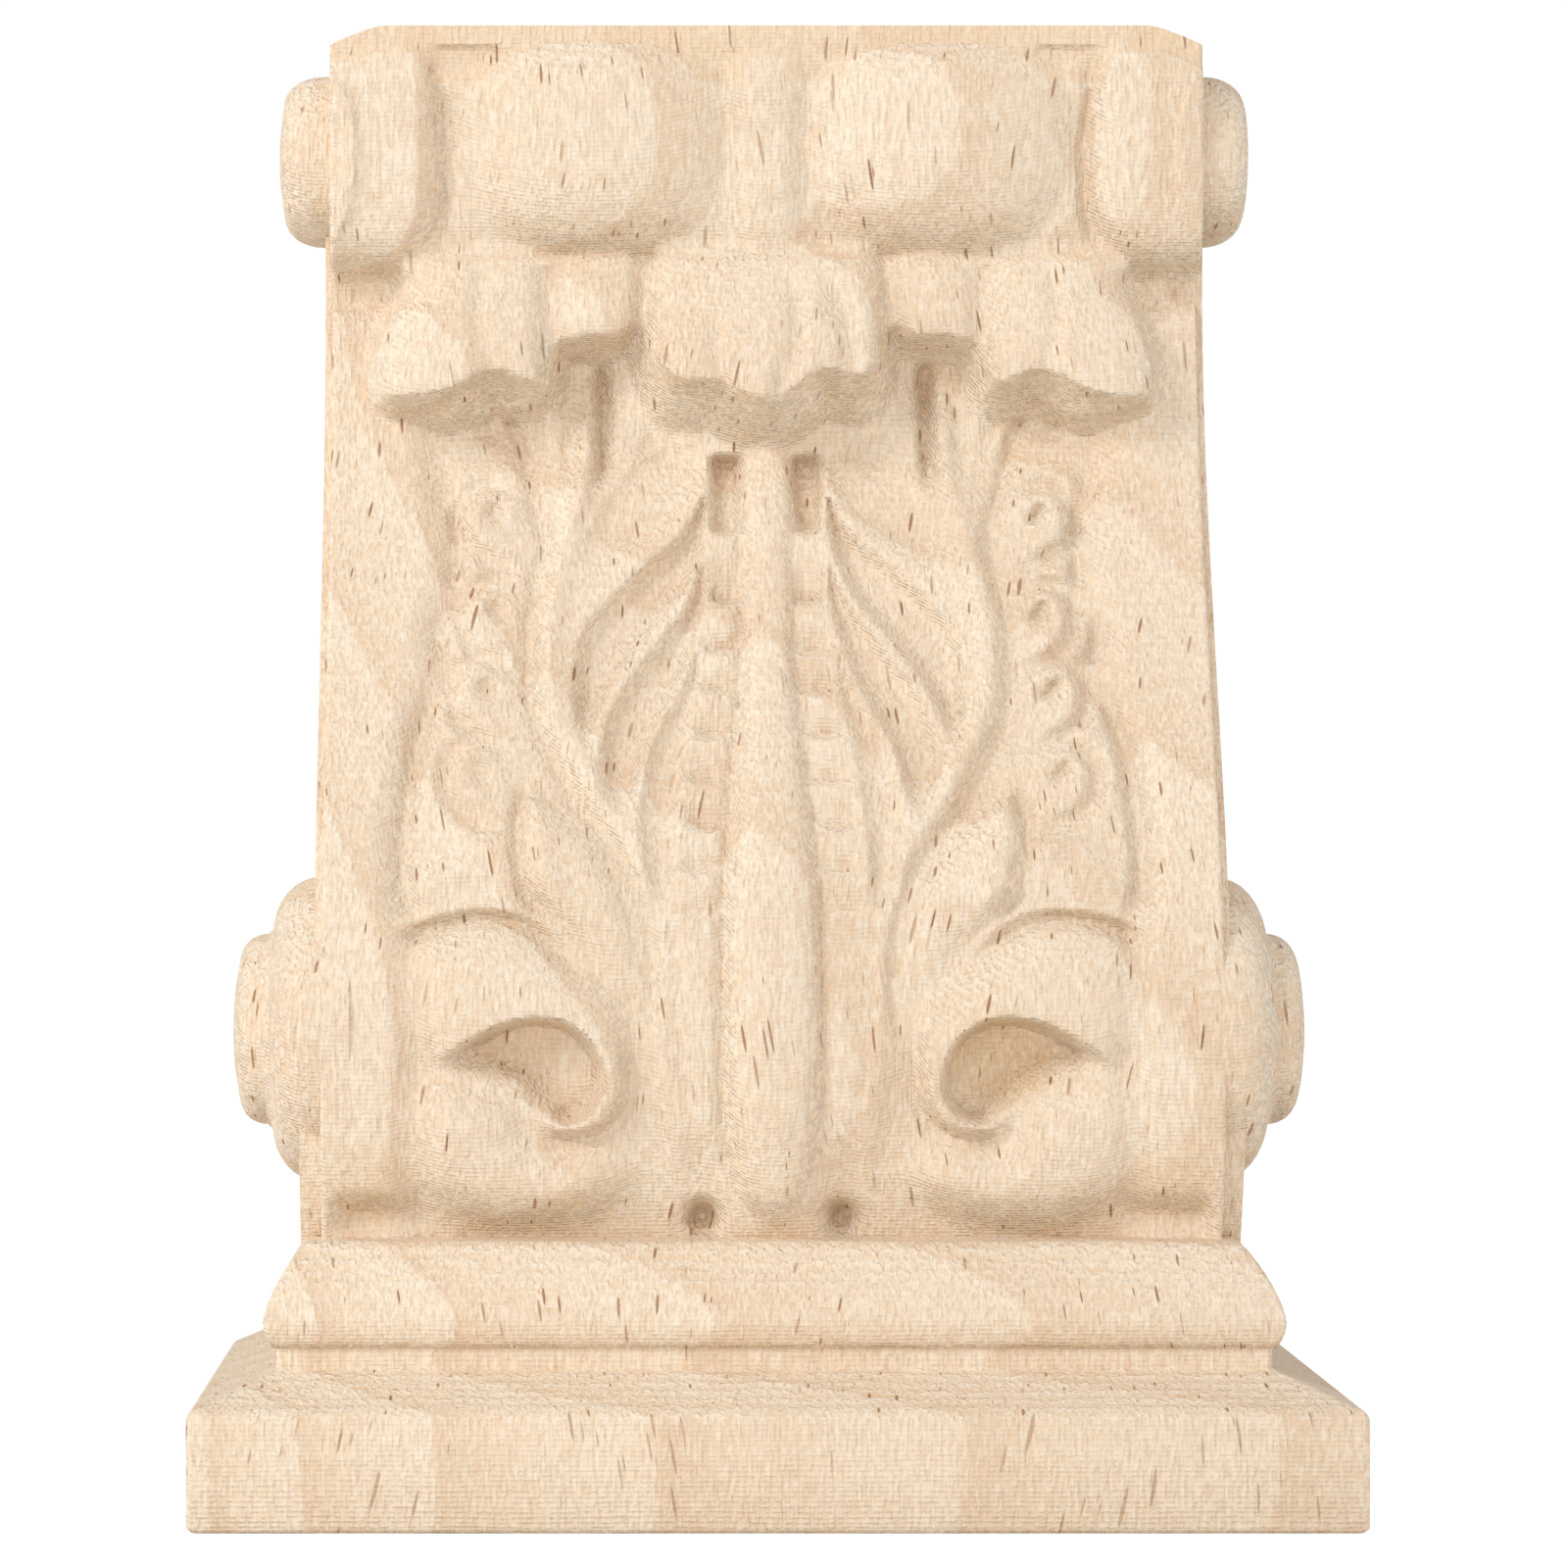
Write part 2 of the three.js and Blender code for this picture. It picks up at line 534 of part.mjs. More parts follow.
let carved = solidOf(bodyGeometry()).add(solidOf(mouldingGeometry()));
for (const hand of [-1, 1]) {
  carved = carved
    .add(solidOf(discGeometry([[lowerDiscRadius, lowerDiscStand], [lowerEyeRadius, lowerEyeStand]],
      lowerDiscDepth, lowerDiscUp, hand)))
    .add(solidOf(discGeometry([[upperDiscRadius, upperDiscStand]], upperDiscDepth, upperDiscUp, hand)))
    .add(solidOf(strapGeometry(lowerDiscUp, upperDiscUp, strapWidth, strapSetBack, strapStand, hand)))
    .add(solidOf(strapGeometry(0, lowerDiscUp, tailWidth, strapSetBack * 2, tailStand, hand)));
}

const wood = new THREE.MeshStandardMaterial({ color: 0xe9cfa8, roughness: 0.72, metalness: 0 });
const corbel = new THREE.Mesh(geometryOf(carved), wood);
corbel.name = 'corbel';

const group = new THREE.Group();
group.add(corbel);

export default group;
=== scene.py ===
# %% [markdown]
# # A carved wood corbel
#
# The corbel is one block of pale, unfinished hardwood. A carving machine has cut its front with a round
# cutter that runs to and fro: an S-shaped face between two plain border bands, a leaf with a midrib, two
# curls at the belly, a row of leaf tips, and a fat roll along the top. It stands on a wide moulded plinth.
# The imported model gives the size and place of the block, and this script gives it its fine surface.

# %% The frame
import math
import bpy
import numpy as np
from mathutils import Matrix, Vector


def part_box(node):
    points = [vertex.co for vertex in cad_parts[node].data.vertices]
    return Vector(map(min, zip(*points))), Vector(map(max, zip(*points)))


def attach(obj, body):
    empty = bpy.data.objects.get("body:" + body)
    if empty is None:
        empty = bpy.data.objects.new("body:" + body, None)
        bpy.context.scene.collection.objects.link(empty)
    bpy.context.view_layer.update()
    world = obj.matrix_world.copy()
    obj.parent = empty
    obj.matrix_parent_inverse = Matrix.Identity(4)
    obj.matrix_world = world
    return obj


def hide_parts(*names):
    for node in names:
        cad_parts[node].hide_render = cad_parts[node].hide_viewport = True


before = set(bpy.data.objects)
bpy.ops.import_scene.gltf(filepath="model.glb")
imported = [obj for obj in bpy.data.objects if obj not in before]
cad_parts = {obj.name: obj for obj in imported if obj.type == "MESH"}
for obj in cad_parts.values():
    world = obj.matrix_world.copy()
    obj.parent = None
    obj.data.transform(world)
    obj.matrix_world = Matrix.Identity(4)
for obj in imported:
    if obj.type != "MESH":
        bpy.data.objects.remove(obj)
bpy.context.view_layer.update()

MM = 0.001
block_low, block_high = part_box("corbel")
print("block", [round((b - a) / MM, 1) for a, b in zip(block_low, block_high)], "mm")

# %% [markdown]
# ## The block's own sizes
#
# Everything is worked out from the block's box: its width and depth are the plinth's, and the body stands
# back from the plinth by the same overhang at the front and at both sides. The carving was drawn on a
# template 47 mm from the middle to the side and 129.2 mm high, and is stretched to fit the body.

# %% Sizes in millimetres
plinth_width = (block_high.x - block_low.x) / MM
plinth_depth = (block_high.y - block_low.y) / MM
total_height = block_high.z / MM
overhang = 13.0
plinth_height, slope_rise, fillet_height, torus_height = 12.5, 3.1, 2.2, 10.6
fillet_overhang, torus_overhang, neck_overhang = 4.4, 5.7, 1.4
body_half = plinth_width / 2 - overhang
neck_depth = plinth_depth - overhang
slope_top = plinth_height + slope_rise
torus_foot = slope_top + fillet_height
body_foot = torus_foot + torus_height
body_height = total_height - body_foot
back_y = plinth_depth / 2
TEMPLATE_HALF, TEMPLATE_FOOT, TEMPLATE_HEIGHT = 47.0, 28.4, 129.2
stretch_across = body_half / TEMPLATE_HALF
stretch_up = body_height / TEMPLATE_HEIGHT
print("body", round(2 * body_half, 1), "by", round(body_height, 1), "mm, from", round(body_foot, 1), "mm up")

# %% [markdown]
# ## A carver's drawing tools
#
# The face has no undercuts, because the cutter comes at it square on. So the whole carving is one height
# for each point of the front, and it can be worked out from drawn lines: a groove is low near its line, a
# bead is high near it, and a leaf is high inside its outline. These few helpers draw the lines and measure
# how far each point lies from them.

# %% Curves that blend one height into the next
def ease(t):
    """Soft step from 0 to 1."""
    t = np.clip(t, 0.0, 1.0)
    return t * t * (3 - 2 * t)


def bell(gap, half):
    """Soft ridge that is 1 on its line and fades over about twice its half width."""
    return np.exp(-(gap / half) ** 2)


def swell(t):
    """Rounded rise from 0 to 1 that starts at a slope."""
    return 1 - (1 - np.clip(t, 0, 1)) ** 2


def meet(a, b, soft):
    """The higher of two surfaces, with a small fillet where they meet."""
    share = np.clip(0.5 + 0.5 * (a - b) / soft, 0, 1)
    return b + (a - b) * share + soft * share * (1 - share)


print("a quarter of the way: ease", float(ease(0.25)), "and swell", float(swell(0.25)))

# %% Lines through a few points, and how far a point lies from them
def drawn(points, closed=False, steps=6):
    """Smooth line through a few points."""
    knots = np.array(list(points) + ([points[0]] if closed else []), float)
    before = knots[-2] if closed else 2 * knots[0] - knots[1]
    after = knots[1] if closed else 2 * knots[-1] - knots[-2]
    knots = np.vstack([before, knots, after])
    t = np.arange(steps)[:, None] / steps
    line = []
    for a, b, c, d in zip(knots[:-3], knots[1:-2], knots[2:-1], knots[3:]):
        bend = 2 * a - 5 * b + 4 * c - d
        line.append(0.5 * (2 * b + (c - a) * t + bend * t ** 2 + (3 * b - a - 3 * c + d) * t ** 3))
    return np.vstack(line + [knots[-2:-1]])


def follow(across, up, line):
    """Gap to a line, the share of the way along it, and the side it lies on."""
    nearest = np.full(across.shape, 1e9)
    share = np.zeros(across.shape)
    side = np.ones(across.shape)
    for i, ((ax, az), (bx, bz)) in enumerate(zip(line[:-1], line[1:])):
        dx, dz = bx - ax, bz - az
        t = np.clip(((across - ax) * dx + (up - az) * dz) / (dx * dx + dz * dz + 1e-12), 0, 1)
        ex, ez = across - ax - t * dx, up - az - t * dz
        gap = ex * ex + ez * ez
        near = gap < nearest
        nearest = np.where(near, gap, nearest)
        share = np.where(near, (i + t) / (len(line) - 1), share)
        side = np.where(near, np.sign(dx * ez - dz * ex), side)
    return np.sqrt(nearest), share, side


def inside(across, up, line):
    """Distance inside a closed outline, negative outside it."""
    within = np.zeros(across.shape, bool)
    for (ax, az), (bx, bz) in zip(line[:-1], line[1:]):
        if az != bz:
            within ^= ((az > up) != (bz > up)) & (across < ax + (up - az) * (bx - ax) / (bz - az))
    gap = follow(across, up, line)[0]
    return np.where(within, gap, -gap)


print("a line through 3 points is drawn with", len(drawn([(0, 0), (1, 1), (2, 0)])), "points")

# %% [markdown]
# ## The S of the border bands
#
# Seen from the side, the front of a corbel is an S: it bellies out at one end and settles into an upright
# panel at the other. The two border bands show this line plainly, so it is drawn first. Depths are measured
# from the flat back, as a joiner marks a block from its back face.

# %% The S line
BELLY_UP, PANEL_UP = 45.0, 129.0
BELLY_PROUD, BELLY_ROUND = 2.0, 80
BELLY_DEPTH, PANEL_DEPTH = neck_depth + BELLY_PROUD, 26.0


def band_depth(up):
    """Depth of the plain border bands from the flat back."""
    below = BELLY_DEPTH - (BELLY_UP - up) ** 2 / BELLY_ROUND
    settled = ease((PANEL_UP - up) / (PANEL_UP - BELLY_UP))
    return np.where(up < BELLY_UP, below, PANEL_DEPTH + (BELLY_DEPTH - PANEL_DEPTH) * settled)


print("depth at belly and panel:", [round(float(band_depth(at)), 1) for at in (BELLY_UP, PANEL_UP)], "mm")

# %% [markdown]
# ## The sunk field and the outer leaf
#
# Between the bands the ground is sunk by two millimetres, with a wavy, rounded shoulder. On it lies the
# outer leaf, whose edge rises again behind a groove and breaks into four scallops like waves. Each wave
# curls round an eye, a small comma-shaped pit, and a groove sweeps over the eye, round it and down to the
# inner leaf. The four are one shape cut at four places, so a loop makes them, and where two grooves cross
# the deeper one counts. The photograph's left half is cut a little less deep.

# %% The ground between the bands
GROUND, SHOULDER_RUN, FIELD_TOP = 2.0, 4.2, 133
EDGE_RISE, EDGE_LINE, EDGE_LINE_IN = 1.3, 0.4, 1.3
BORDER = drawn([(38.2, 128), (37.8, 120), (37.4, 114.5), (36.6, 110.5), (35.8, 107.2), (35.3, 103.5),
                (34.8, 99.0), (35.2, 96.2), (36.6, 92.4), (36.0, 88.8), (36.9, 85.6), (38.2, 82.4),
                (39.0, 79.4), (39.7, 74.4), (40.2, 69), (40.0, 65), (38.8, 60.5), (38.2, 52), (38.2, 44),
                (38.4, 37), (37.6, 28)])


def sunk_field(across, up):
    """Height of the ground against the bands, and how fully it is sunk."""
    gap, _, side = follow(across, up, BORDER)
    within = np.where(side < 0, gap, -gap)
    sunk = ease(within / SHOULDER_RUN + 0.5) * ease((FIELD_TOP - up) / 3)
    line = bell(within - EDGE_LINE_IN, 0.9) * ease((113 - up) / 10) * ease((up - 60) / 6)
    edge = ease((within - 1.6) / 1.8) * ease((112 - up) / 6) * ease((up - 58) / 8)
    return EDGE_RISE * edge - GROUND * sunk - EDGE_LINE * line, sunk


print("ground sunk by", GROUND, "mm inside a border line of", len(BORDER), "points")

# %% The scallops of the outer leaf
EYES = [(29.2, 105.1, 1.0), (29.0, 94.3, 0.95), (29.9, 86.0, 1.0), (30.6, 77.2, 0.75)]
SWEEP = drawn([(-2.0, 0.8), (-1.0, 2.6), (1.2, 3.1), (3.1, 1.8), (3.8, -0.6), (3.1, -3.2), (1.0, -4.9),
               (-1.6, -6.4), (-3.4, -7.6)], steps=4)
MOUND_RISE, EYE_RING, EYE_DEPTH = 0.8, 0.3, 1.3
SWEEP_DEPTH, SWEEP_LIP = 1.3, 0.35
LEFT_DEPTH_SHARE = 0.7


def outer_leaf(x, up, sunk):
    """Four scallops, each curled round its eye. The eyes on the left half are cut less deep."""
    across, deep = np.abs(x), np.where(x < 0, LEFT_DEPTH_SHARE, 1.0)
    rise = np.zeros(across.shape)
    for eye_across, eye_up, _ in EYES:
        out, above = (across - eye_across - 0.8) / 5.6, (up - eye_up + 0.4) / 5.2
        rise = np.maximum(rise, MOUND_RISE * np.exp(-(out ** 2 + above ** 2) ** 1.2))
    rise = rise * sunk
    cut = np.zeros(across.shape)
    for eye_across, eye_up, strong in EYES:
        out, above = across - eye_across, up - eye_up
        comma = np.hypot(out - above * 0.7, (above + out * 0.3) / 1.9)
        rise = rise + EYE_RING * strong * bell(np.hypot(out, above) - 1.8, 0.8)
        cut = np.maximum(cut, EYE_DEPTH * strong * bell(comma, 0.8))
        gap, share, _ = follow(out, above, SWEEP)
        groove = strong * ease(share / 0.25) * ease((1 - share) / 0.3)
        rise = rise + SWEEP_LIP * groove * bell(gap - 1.5, 0.7)
        cut = np.maximum(cut, SWEEP_DEPTH * groove * bell(gap, 1.0))
    return rise - deep * cut


print(len(EYES), "scallops on each side")

# %% [markdown]
# ## The inner leaf
#
# The inner leaf is fluted like an acanthus: four channels run down from the midrib and fan out, and the wood
# left between them stands up as crisp ridges. A channel is a closed outline, sunk to a round bottom inside
# it, so both its edges come out crisp. A smooth margin runs round the flutes, and a deep line parts the leaf
# from the outer one. Above, two long ridges come down from under the leaf tips and run into the margin.

# %% Outlines of the inner leaf
LEAF = drawn([(3, 124), (24.6, 124), (24.0, 112), (23.6, 105), (24.2, 100.5), (25.2, 95.5), (25.6, 90.5),
              (25.3, 86), (24.0, 81), (21.2, 76), (17.4, 71), (14.6, 63), (13.4, 54), (12.4, 44),
              (10.4, 36), (7, 28), (-6, 28), (-6, 124)], True)
CHANNELS = [(drawn(points, True), deep, low) for points, deep, low in (
    ([(6.6, 111.4), (9.0, 112.4), (12.5, 111.2), (15.6, 108.2), (18.0, 104.8), (19.4, 101), (18.2, 98.6),
      (16.0, 99.9), (13.2, 101.7), (10.4, 103.6), (8.4, 106.0), (7.2, 108.8)], 0.9, 97),
    ([(6.7, 106.6), (7.9, 104.4), (9.8, 101.9), (12.6, 99.5), (15.0, 97.3), (17.1, 95.1), (19.1, 92.8),
      (20.2, 90), (20.6, 86.5), (20.4, 83), (19.4, 80.4), (18.6, 82.4), (17.8, 84.5), (16.7, 86.6),
      (15.5, 88.6), (13.8, 90.8), (12.1, 92.9), (10.3, 95.1), (8.9, 97.2), (7.8, 99.6), (7.0, 102.5)],
     2.2, 79),
    ([(6.9, 99.2), (7.6, 96.8), (8.6, 94.8), (10.0, 92.8), (11.7, 90.6), (13.4, 88.4), (15.1, 86.2),
      (16.3, 84.0), (17.2, 81.6), (17.8, 78.4), (17.6, 74.6), (16.0, 72.4), (14.5, 74.6), (13.9, 77.4),
      (13.1, 80.2), (11.9, 82.8), (10.4, 85.4), (9.2, 87.9), (8.1, 90.6), (7.3, 93.6), (6.7, 96.6)], 1.9, 71),
    ([(7.6, 89.6), (8.5, 87.0), (9.7, 84.6), (11.2, 82.0), (12.4, 79.2), (13.1, 76.2), (13.6, 72.6),
      (13.3, 68), (12.8, 64), (11.6, 61), (10.6, 64.5), (10.3, 69), (9.9, 74), (9.1, 79), (8.2, 83.5),
      (7.5, 87)], 1.3, 60))]
MARGIN = drawn([(23.6, 112), (23.6, 103.4), (24.3, 99), (25.2, 94), (25.5, 90.2), (25.5, 86.7), (25.0, 84),
                (24.0, 81.2), (22.6, 78.4), (21.2, 75.9), (19.6, 73.6), (17.6, 71.2)])
LONG_RIDGES = [(drawn(points), high) for points, high in (
    ([(19.2, 121), (19.3, 113), (19.9, 107.5), (21.2, 102)], 0.9),
    ([(27.0, 117), (25.0, 111.5), (23.4, 106.5), (22.8, 101)], 0.5))]
LONG_GROOVES = [(drawn(points), deep) for points, deep in (
    ([(17.6, 122), (17.5, 113), (17.9, 107)], 1.9),
    ([(21.6, 121), (21.4, 113), (21.6, 108)], 0.5),
    ([(28.4, 117), (26.4, 112), (25.2, 107), (24.6, 102)], 0.9))]
print(len(CHANNELS), "channels,", len(LONG_RIDGES), "long ridges and", len(LONG_GROOVES), "long grooves")

# %% The inner leaf
LEAF_RISE, MARGIN_RISE, CHANNEL_SIDE, GROOVE_HALF = 1.1, 0.7, 1.9, 0.8


def inner_leaf(across, up):
    """Flutes with crisp ridges between them, and a rounded margin round them."""
    within = inside(across, up, LEAF)
    rise = LEAF_RISE * ease(within / 3.2 + 0.3)
    for channel, deep, low in CHANNELS:
        within = inside(across, up, channel)
        sink = deep * ease((up - low) / 7 + 0.1)
        rise = rise - sink * swell((within + 0.35) / CHANNEL_SIDE)
    gap, share, side = follow(across, up, MARGIN)
    ends = ease(share / 0.1) * ease((1 - share) / 0.12)
    rise = rise + MARGIN_RISE * ends * (bell(gap - 2.3, 1.4) * (side < 0) - bell(gap, 0.9))
    for ridge, high in LONG_RIDGES:
        gap, share, _ = follow(across, up, ridge)
        rise = rise + high * bell(gap, 0.9) * ease(share / 0.1) * ease((1 - share) / 0.3)
    for groove, deep in LONG_GROOVES:
        gap, share, _ = follow(across, up, groove)
        rise = rise - deep * bell(gap, GROOVE_HALF) * ease((1 - share) / 0.3)
    return rise


print("leaf", LEAF_RISE, "mm high, channels up to", max(deep for _, deep, _ in CHANNELS), "mm deep")

# %% [markdown]
# ## Midrib, drop and rungs
#
# The midrib swells downwards into a long drop. Beside its thin upper half are two deep slots and, below
# them, a ladder of shallow scoops that fade out. They are the same shape again and again, so one loop makes
# them from a short list of top, bottom and depth. A scoop gets deeper downwards and ends at a small step,
# whose edge is an arc, because the round cutter left its own form there.

# %% Midrib and ladder
RUNGS = [(112, 102.8, 2.8), (103.0, 95.2, 2.3), (94.4, 90.0, 1.9), (89.6, 85.6, 2.0), (85.2, 80.8, 2.0),
         (80.6, 76.0, 1.9), (75.6, 71.2, 1.7), (70.8, 66.6, 1.5), (66.0, 62.0, 1.1)]
SLOT_DEPTH, CRISP_DEPTH = 2.5, 2.1
CRISP_HALF, SCOOP_HALF, CRISP_BOX, SCOOP_BOX = 1.5, 2.6, 4, 2.4
SIDE_LINE = 0.65


def midrib(across, up):
    """Midrib that swells into a drop, with the rungs beside it."""
    half = np.interp(up, [31, 33, 36.3, 44, 65, 70, 79.7, 86, 107.6, 114],
                     [1.2, 2.6, 3.6, 4.3, 4.2, 3.6, 2.8, 2.0, 1.6, 1.5])
    rise = np.interp(up, [30, 34, 40, 55, 75, 95, 115], [1.0, 1.8, 2.3, 2.2, 1.6, 0.9, 0.9])
    height = rise * (1 - np.clip(across / (half + 1.0), 0, 1) ** 2.6) * ease((up - 29) / 4)
    height = height - SIDE_LINE * bell(across - half - 0.9, 0.8) * ease((106 - up) / 8) * ease((up - 31) / 6)
    for top, bottom, deep in RUNGS:
        out = np.interp((top + bottom) / 2, [60, 75, 85, 95, 110], [8.0, 6.8, 5.6, 4.5, 4.3])
        slot, crisp = deep > SLOT_DEPTH, deep > CRISP_DEPTH
        wide, square = (CRISP_HALF, CRISP_BOX) if crisp else (SCOOP_HALF, SCOOP_BOX)
        arc = bottom + 0.10 * (across - out) ** 2
        fallen = (top - up) / (top - bottom)
        sink = ease(fallen / 0.12) * (1.3 - 0.6 * fallen) if slot else np.clip(fallen, 0, 1) ** 2
        box = np.exp(-np.abs((across - out) / wide) ** square)
        height = height - deep * box * sink * ease((up - arc) / 1.0 + 0.4) * ease((top - up) / 0.6)
    return height


print(len(RUNGS), "slots and scoops on each side of the midrib")

# %% [markdown]
# ## The curls at the belly
#
# At the belly each side ends in a big curl. A leaf rolls over a hollow whose upper edge is crisp, while its
# floor climbs softly to the hook below. A narrow lip runs round the end of the hollow, and a furry groove
# parts it from the hook. The forms are soft swells added inside their outlines, like clay on a board, and the
# hollow is cut into them last.

# %% Outlines of the curl
CREASES = [(drawn(points), deep, half) for points, deep, half in (
    ([(12.2, 72), (10.6, 63.5), (10.2, 55), (9.6, 47), (8.6, 38), (7.4, 31)], 0.35, 1.0),
    ([(24.4, 75.2), (20, 73.0), (17, 70.0), (14.5, 66), (12.9, 61), (12.4, 55), (13.0, 50)], 0.9, 0.8),
    ([(25.8, 76.0), (26.8, 72), (26.6, 68), (25.6, 64.5), (23.4, 61.8)], 1.1, 0.8),
    ([(27.4, 66.2), (32.5, 68.9), (37.6, 68.6)], 0.35, 1.3))]
SHOULDER = drawn([(22.5, 72), (27, 74.5), (33, 72.5), (38.6, 67), (38.6, 61), (31, 63), (25, 62),
                  (20, 58.4), (19.6, 64)], True)
POINTED = drawn([(25.4, 75.4), (22.6, 73.2), (19.6, 70.6), (17.0, 67.2), (14.8, 62.4), (13.4, 55), (17, 54.5),
                 (21, 60.0), (24.4, 64.0), (25.6, 68.5), (26.0, 72.5)], True)
ARC = drawn([(18.6, 54.6), (20.6, 57.6), (23.2, 60.2), (26, 61.9), (30, 62.6), (34, 62), (37, 61.1),
             (39.4, 60.2)])
CURL = drawn([(14.4, 50), (14.4, 46), (15.2, 42.2), (17.6, 39.4), (20.8, 38.6), (24, 39.3), (25.5, 42),
              (27.5, 44), (31, 45.2), (35, 45.8), (37.6, 49), (38.6, 54), (38.0, 59.8), (34, 61.7),
              (30, 62.3), (26.5, 61.8), (23.2, 60.2), (19.5, 57.0), (16.0, 53.8)], True)
HOOK = drawn([(34.9, 46.0), (37.4, 44.0), (38.6, 40.5), (38.0, 35.5), (35, 31.6), (29, 29.4), (22, 29.4),
              (16.6, 31.6), (14.2, 36), (18.2, 39.0), (22, 38.2), (24.8, 39.4), (26.2, 42.2), (28.2, 44.0),
              (31.0, 45.0)], True)
CRISP_EDGE = [(35.4, 46.6), (32.2, 49.2), (28.5, 51.2), (24.8, 52.0), (21.5, 51.5), (18.9, 49.5),
              (17.4, 46.6), (17.4, 43.6), (19.0, 41.2), (21.6, 40.2), (24, 41.0)]
SOFT_EDGE = [(24, 41.0), (25.4, 42.2), (26.8, 43.7), (29.6, 44.9), (32.6, 45.7), (35.4, 46.6)]
LIP_LINE = drawn([(17.0, 50), (16.4, 46.5), (16.5, 43.2), (18, 40.9), (20.6, 39.9), (23.6, 40.3)])
FURRY_LINE = drawn([(15.4, 52), (14.8, 47.5), (14.9, 43.5), (16.3, 40.7), (18.6, 39.2), (21.5, 38.7),
                    (24.4, 39.3)])
print("outlines of the curl and its hook in", len(CURL), "and", len(HOOK), "points")

# %% The curl
SHOULDER_RISE, POINTED_RISE, CURL_RISE, HOOK_RISE = 1.0, 1.5, 3.3, 2.9
HOLLOW_DEPTH, LIP_RISE, FURRY_DEPTH = 5.4, 0.7, 0.9
ARC_RIDGE, ARC_GROOVE = 0.7, 1.3
CURL_SOFTNESS = 0.7
CELL = 0.4  # the face is worked out on a grid of cells this wide


def soften(height, reach):
    """Rounds the creases of a form over, as a scraper does."""
    cells = max(round(reach / CELL), 1)
    for axis in (0, 1, 0, 1):
        moved = [np.roll(height, step, axis) for step in range(-cells, cells + 1)]
        height = sum(moved) / len(moved)
    return height


def belly_curl(across, up, height):
    """Adds the curl and what leads into it to the height of the field."""
    for crease, deep, half in CREASES:
        gap, share, _ = follow(across, up, crease)
        height = height - deep * bell(gap, half) * ease((share + 0.05) / 0.2) * ease((1.05 - share) / 0.2)
    height = height + SHOULDER_RISE * ease(inside(across, up, SHOULDER) / 5)
    height = height + POINTED_RISE * swell(inside(across, up, POINTED) / 2.6) * ease((up - 52) / 10)
    gap, share, side = follow(across, up, ARC)
    above = gap * np.sign(side)
    step = ease(share / 0.35) * ease((1 - share) / 0.12)
    height = height + step * (ARC_RIDGE * bell(above - 0.6, 0.8) - ARC_GROOVE * bell(above + 0.7, 0.8))
    rolled = CURL_RISE * swell(inside(across, up, CURL) / 6.0)
    rolled = rolled + HOOK_RISE * swell(inside(across, up, HOOK) / 5.4)
    height = height + soften(rolled, CURL_SOFTNESS)
    gap, share, _ = follow(across, up, LIP_LINE)
    height = height + LIP_RISE * bell(gap, 0.9) * ease(share / 0.2) * ease((1 - share) / 0.2)
    gap, share, _ = follow(across, up, FURRY_LINE)
    height = height - FURRY_DEPTH * bell(gap, 0.8) * ease(share / 0.2) * ease((1 - share) / 0.15)
    hollow = inside(across, up, drawn(CRISP_EDGE + SOFT_EDGE[1:-1], True))
    wall = follow(across, up, drawn(CRISP_EDGE))[0]
    shore = follow(across, up, drawn(SOFT_EDGE))[0]
    return height - HOLLOW_DEPTH * (hollow > 0) * ease(wall / 1.5) * ease(shore / 3.6 + 0.1)


print("curl", CURL_RISE, "mm high, its hollow", HOLLOW_DEPTH, "mm deep")

# %% [markdown]
# ## The row of leaf tips
#
# Under the roll the leaf turns over into thick tips. They grow out of one crease and share one outline: an
# outer tip, a short one, and the broad middle one. The face comes forward as it goes down and is soft at
# its sides, the lip is crisp, and the underside falls steeply to the ground.

# %% Outline of the tips
OUTER_LIP = [(38.0, 137), (38.6, 131), (40.4, 125), (41.3, 120), (40.2, 117.6), (37, 117.5), (33.4, 118.5),
             (31, 119.8), (28.6, 120.3), (26.4, 119.4), (24.6, 119.2), (23.4, 121), (22.6, 123.4),
             (19.6, 124.1), (16.2, 124.3), (13.8, 125.6)]
MIDDLE_LIP = [(12.6, 123), (11.6, 120.6), (9.4, 119.7), (6.7, 120.4), (4.7, 119.7), (2.5, 118.0),
              (-0.2, 116.9), (-2.7, 117.8), (-5.2, 119.0), (-8.6, 119.1), (-11.2, 120.4), (-12.8, 123.4)]
TIPS = drawn(OUTER_LIP + MIDDLE_LIP + [(-x, up) for x, up in OUTER_LIP[::-1]], True, 4)
VALLEYS = [(drawn(points), deep, half) for points, deep, half in (
    ([(24.0, 132), (23.4, 128), (23.2, 121)], 1.1, 1.3),
    ([(13.0, 134), (13.2, 129), (13.2, 123)], 1.2, 1.2),
    ([(30.4, 132), (31.1, 127), (30.2, 121), (30.0, 117)], 0.55, 1.0))]
PETAL_GROOVES = [(drawn(points), deep, half) for points, deep, half in (
    ([(1.6, 132), (3.0, 128), (3.0, 123), (1.2, 118)], 0.9, 1.1),
    ([(4.6, 131), (7.8, 127.5), (9.0, 123.5), (8.8, 119)], 1.2, 1.3),
    ([(-5.0, 127), (-5.7, 122.5), (-4.6, 118.5)], 0.6, 0.8))]
print("one outline of", len(TIPS), "points for all five tips")

# %% The tips
LIP_ROUND, SMALL_TIP_SHARE, SIDE_WALL = 0.9, 0.12, 3.2


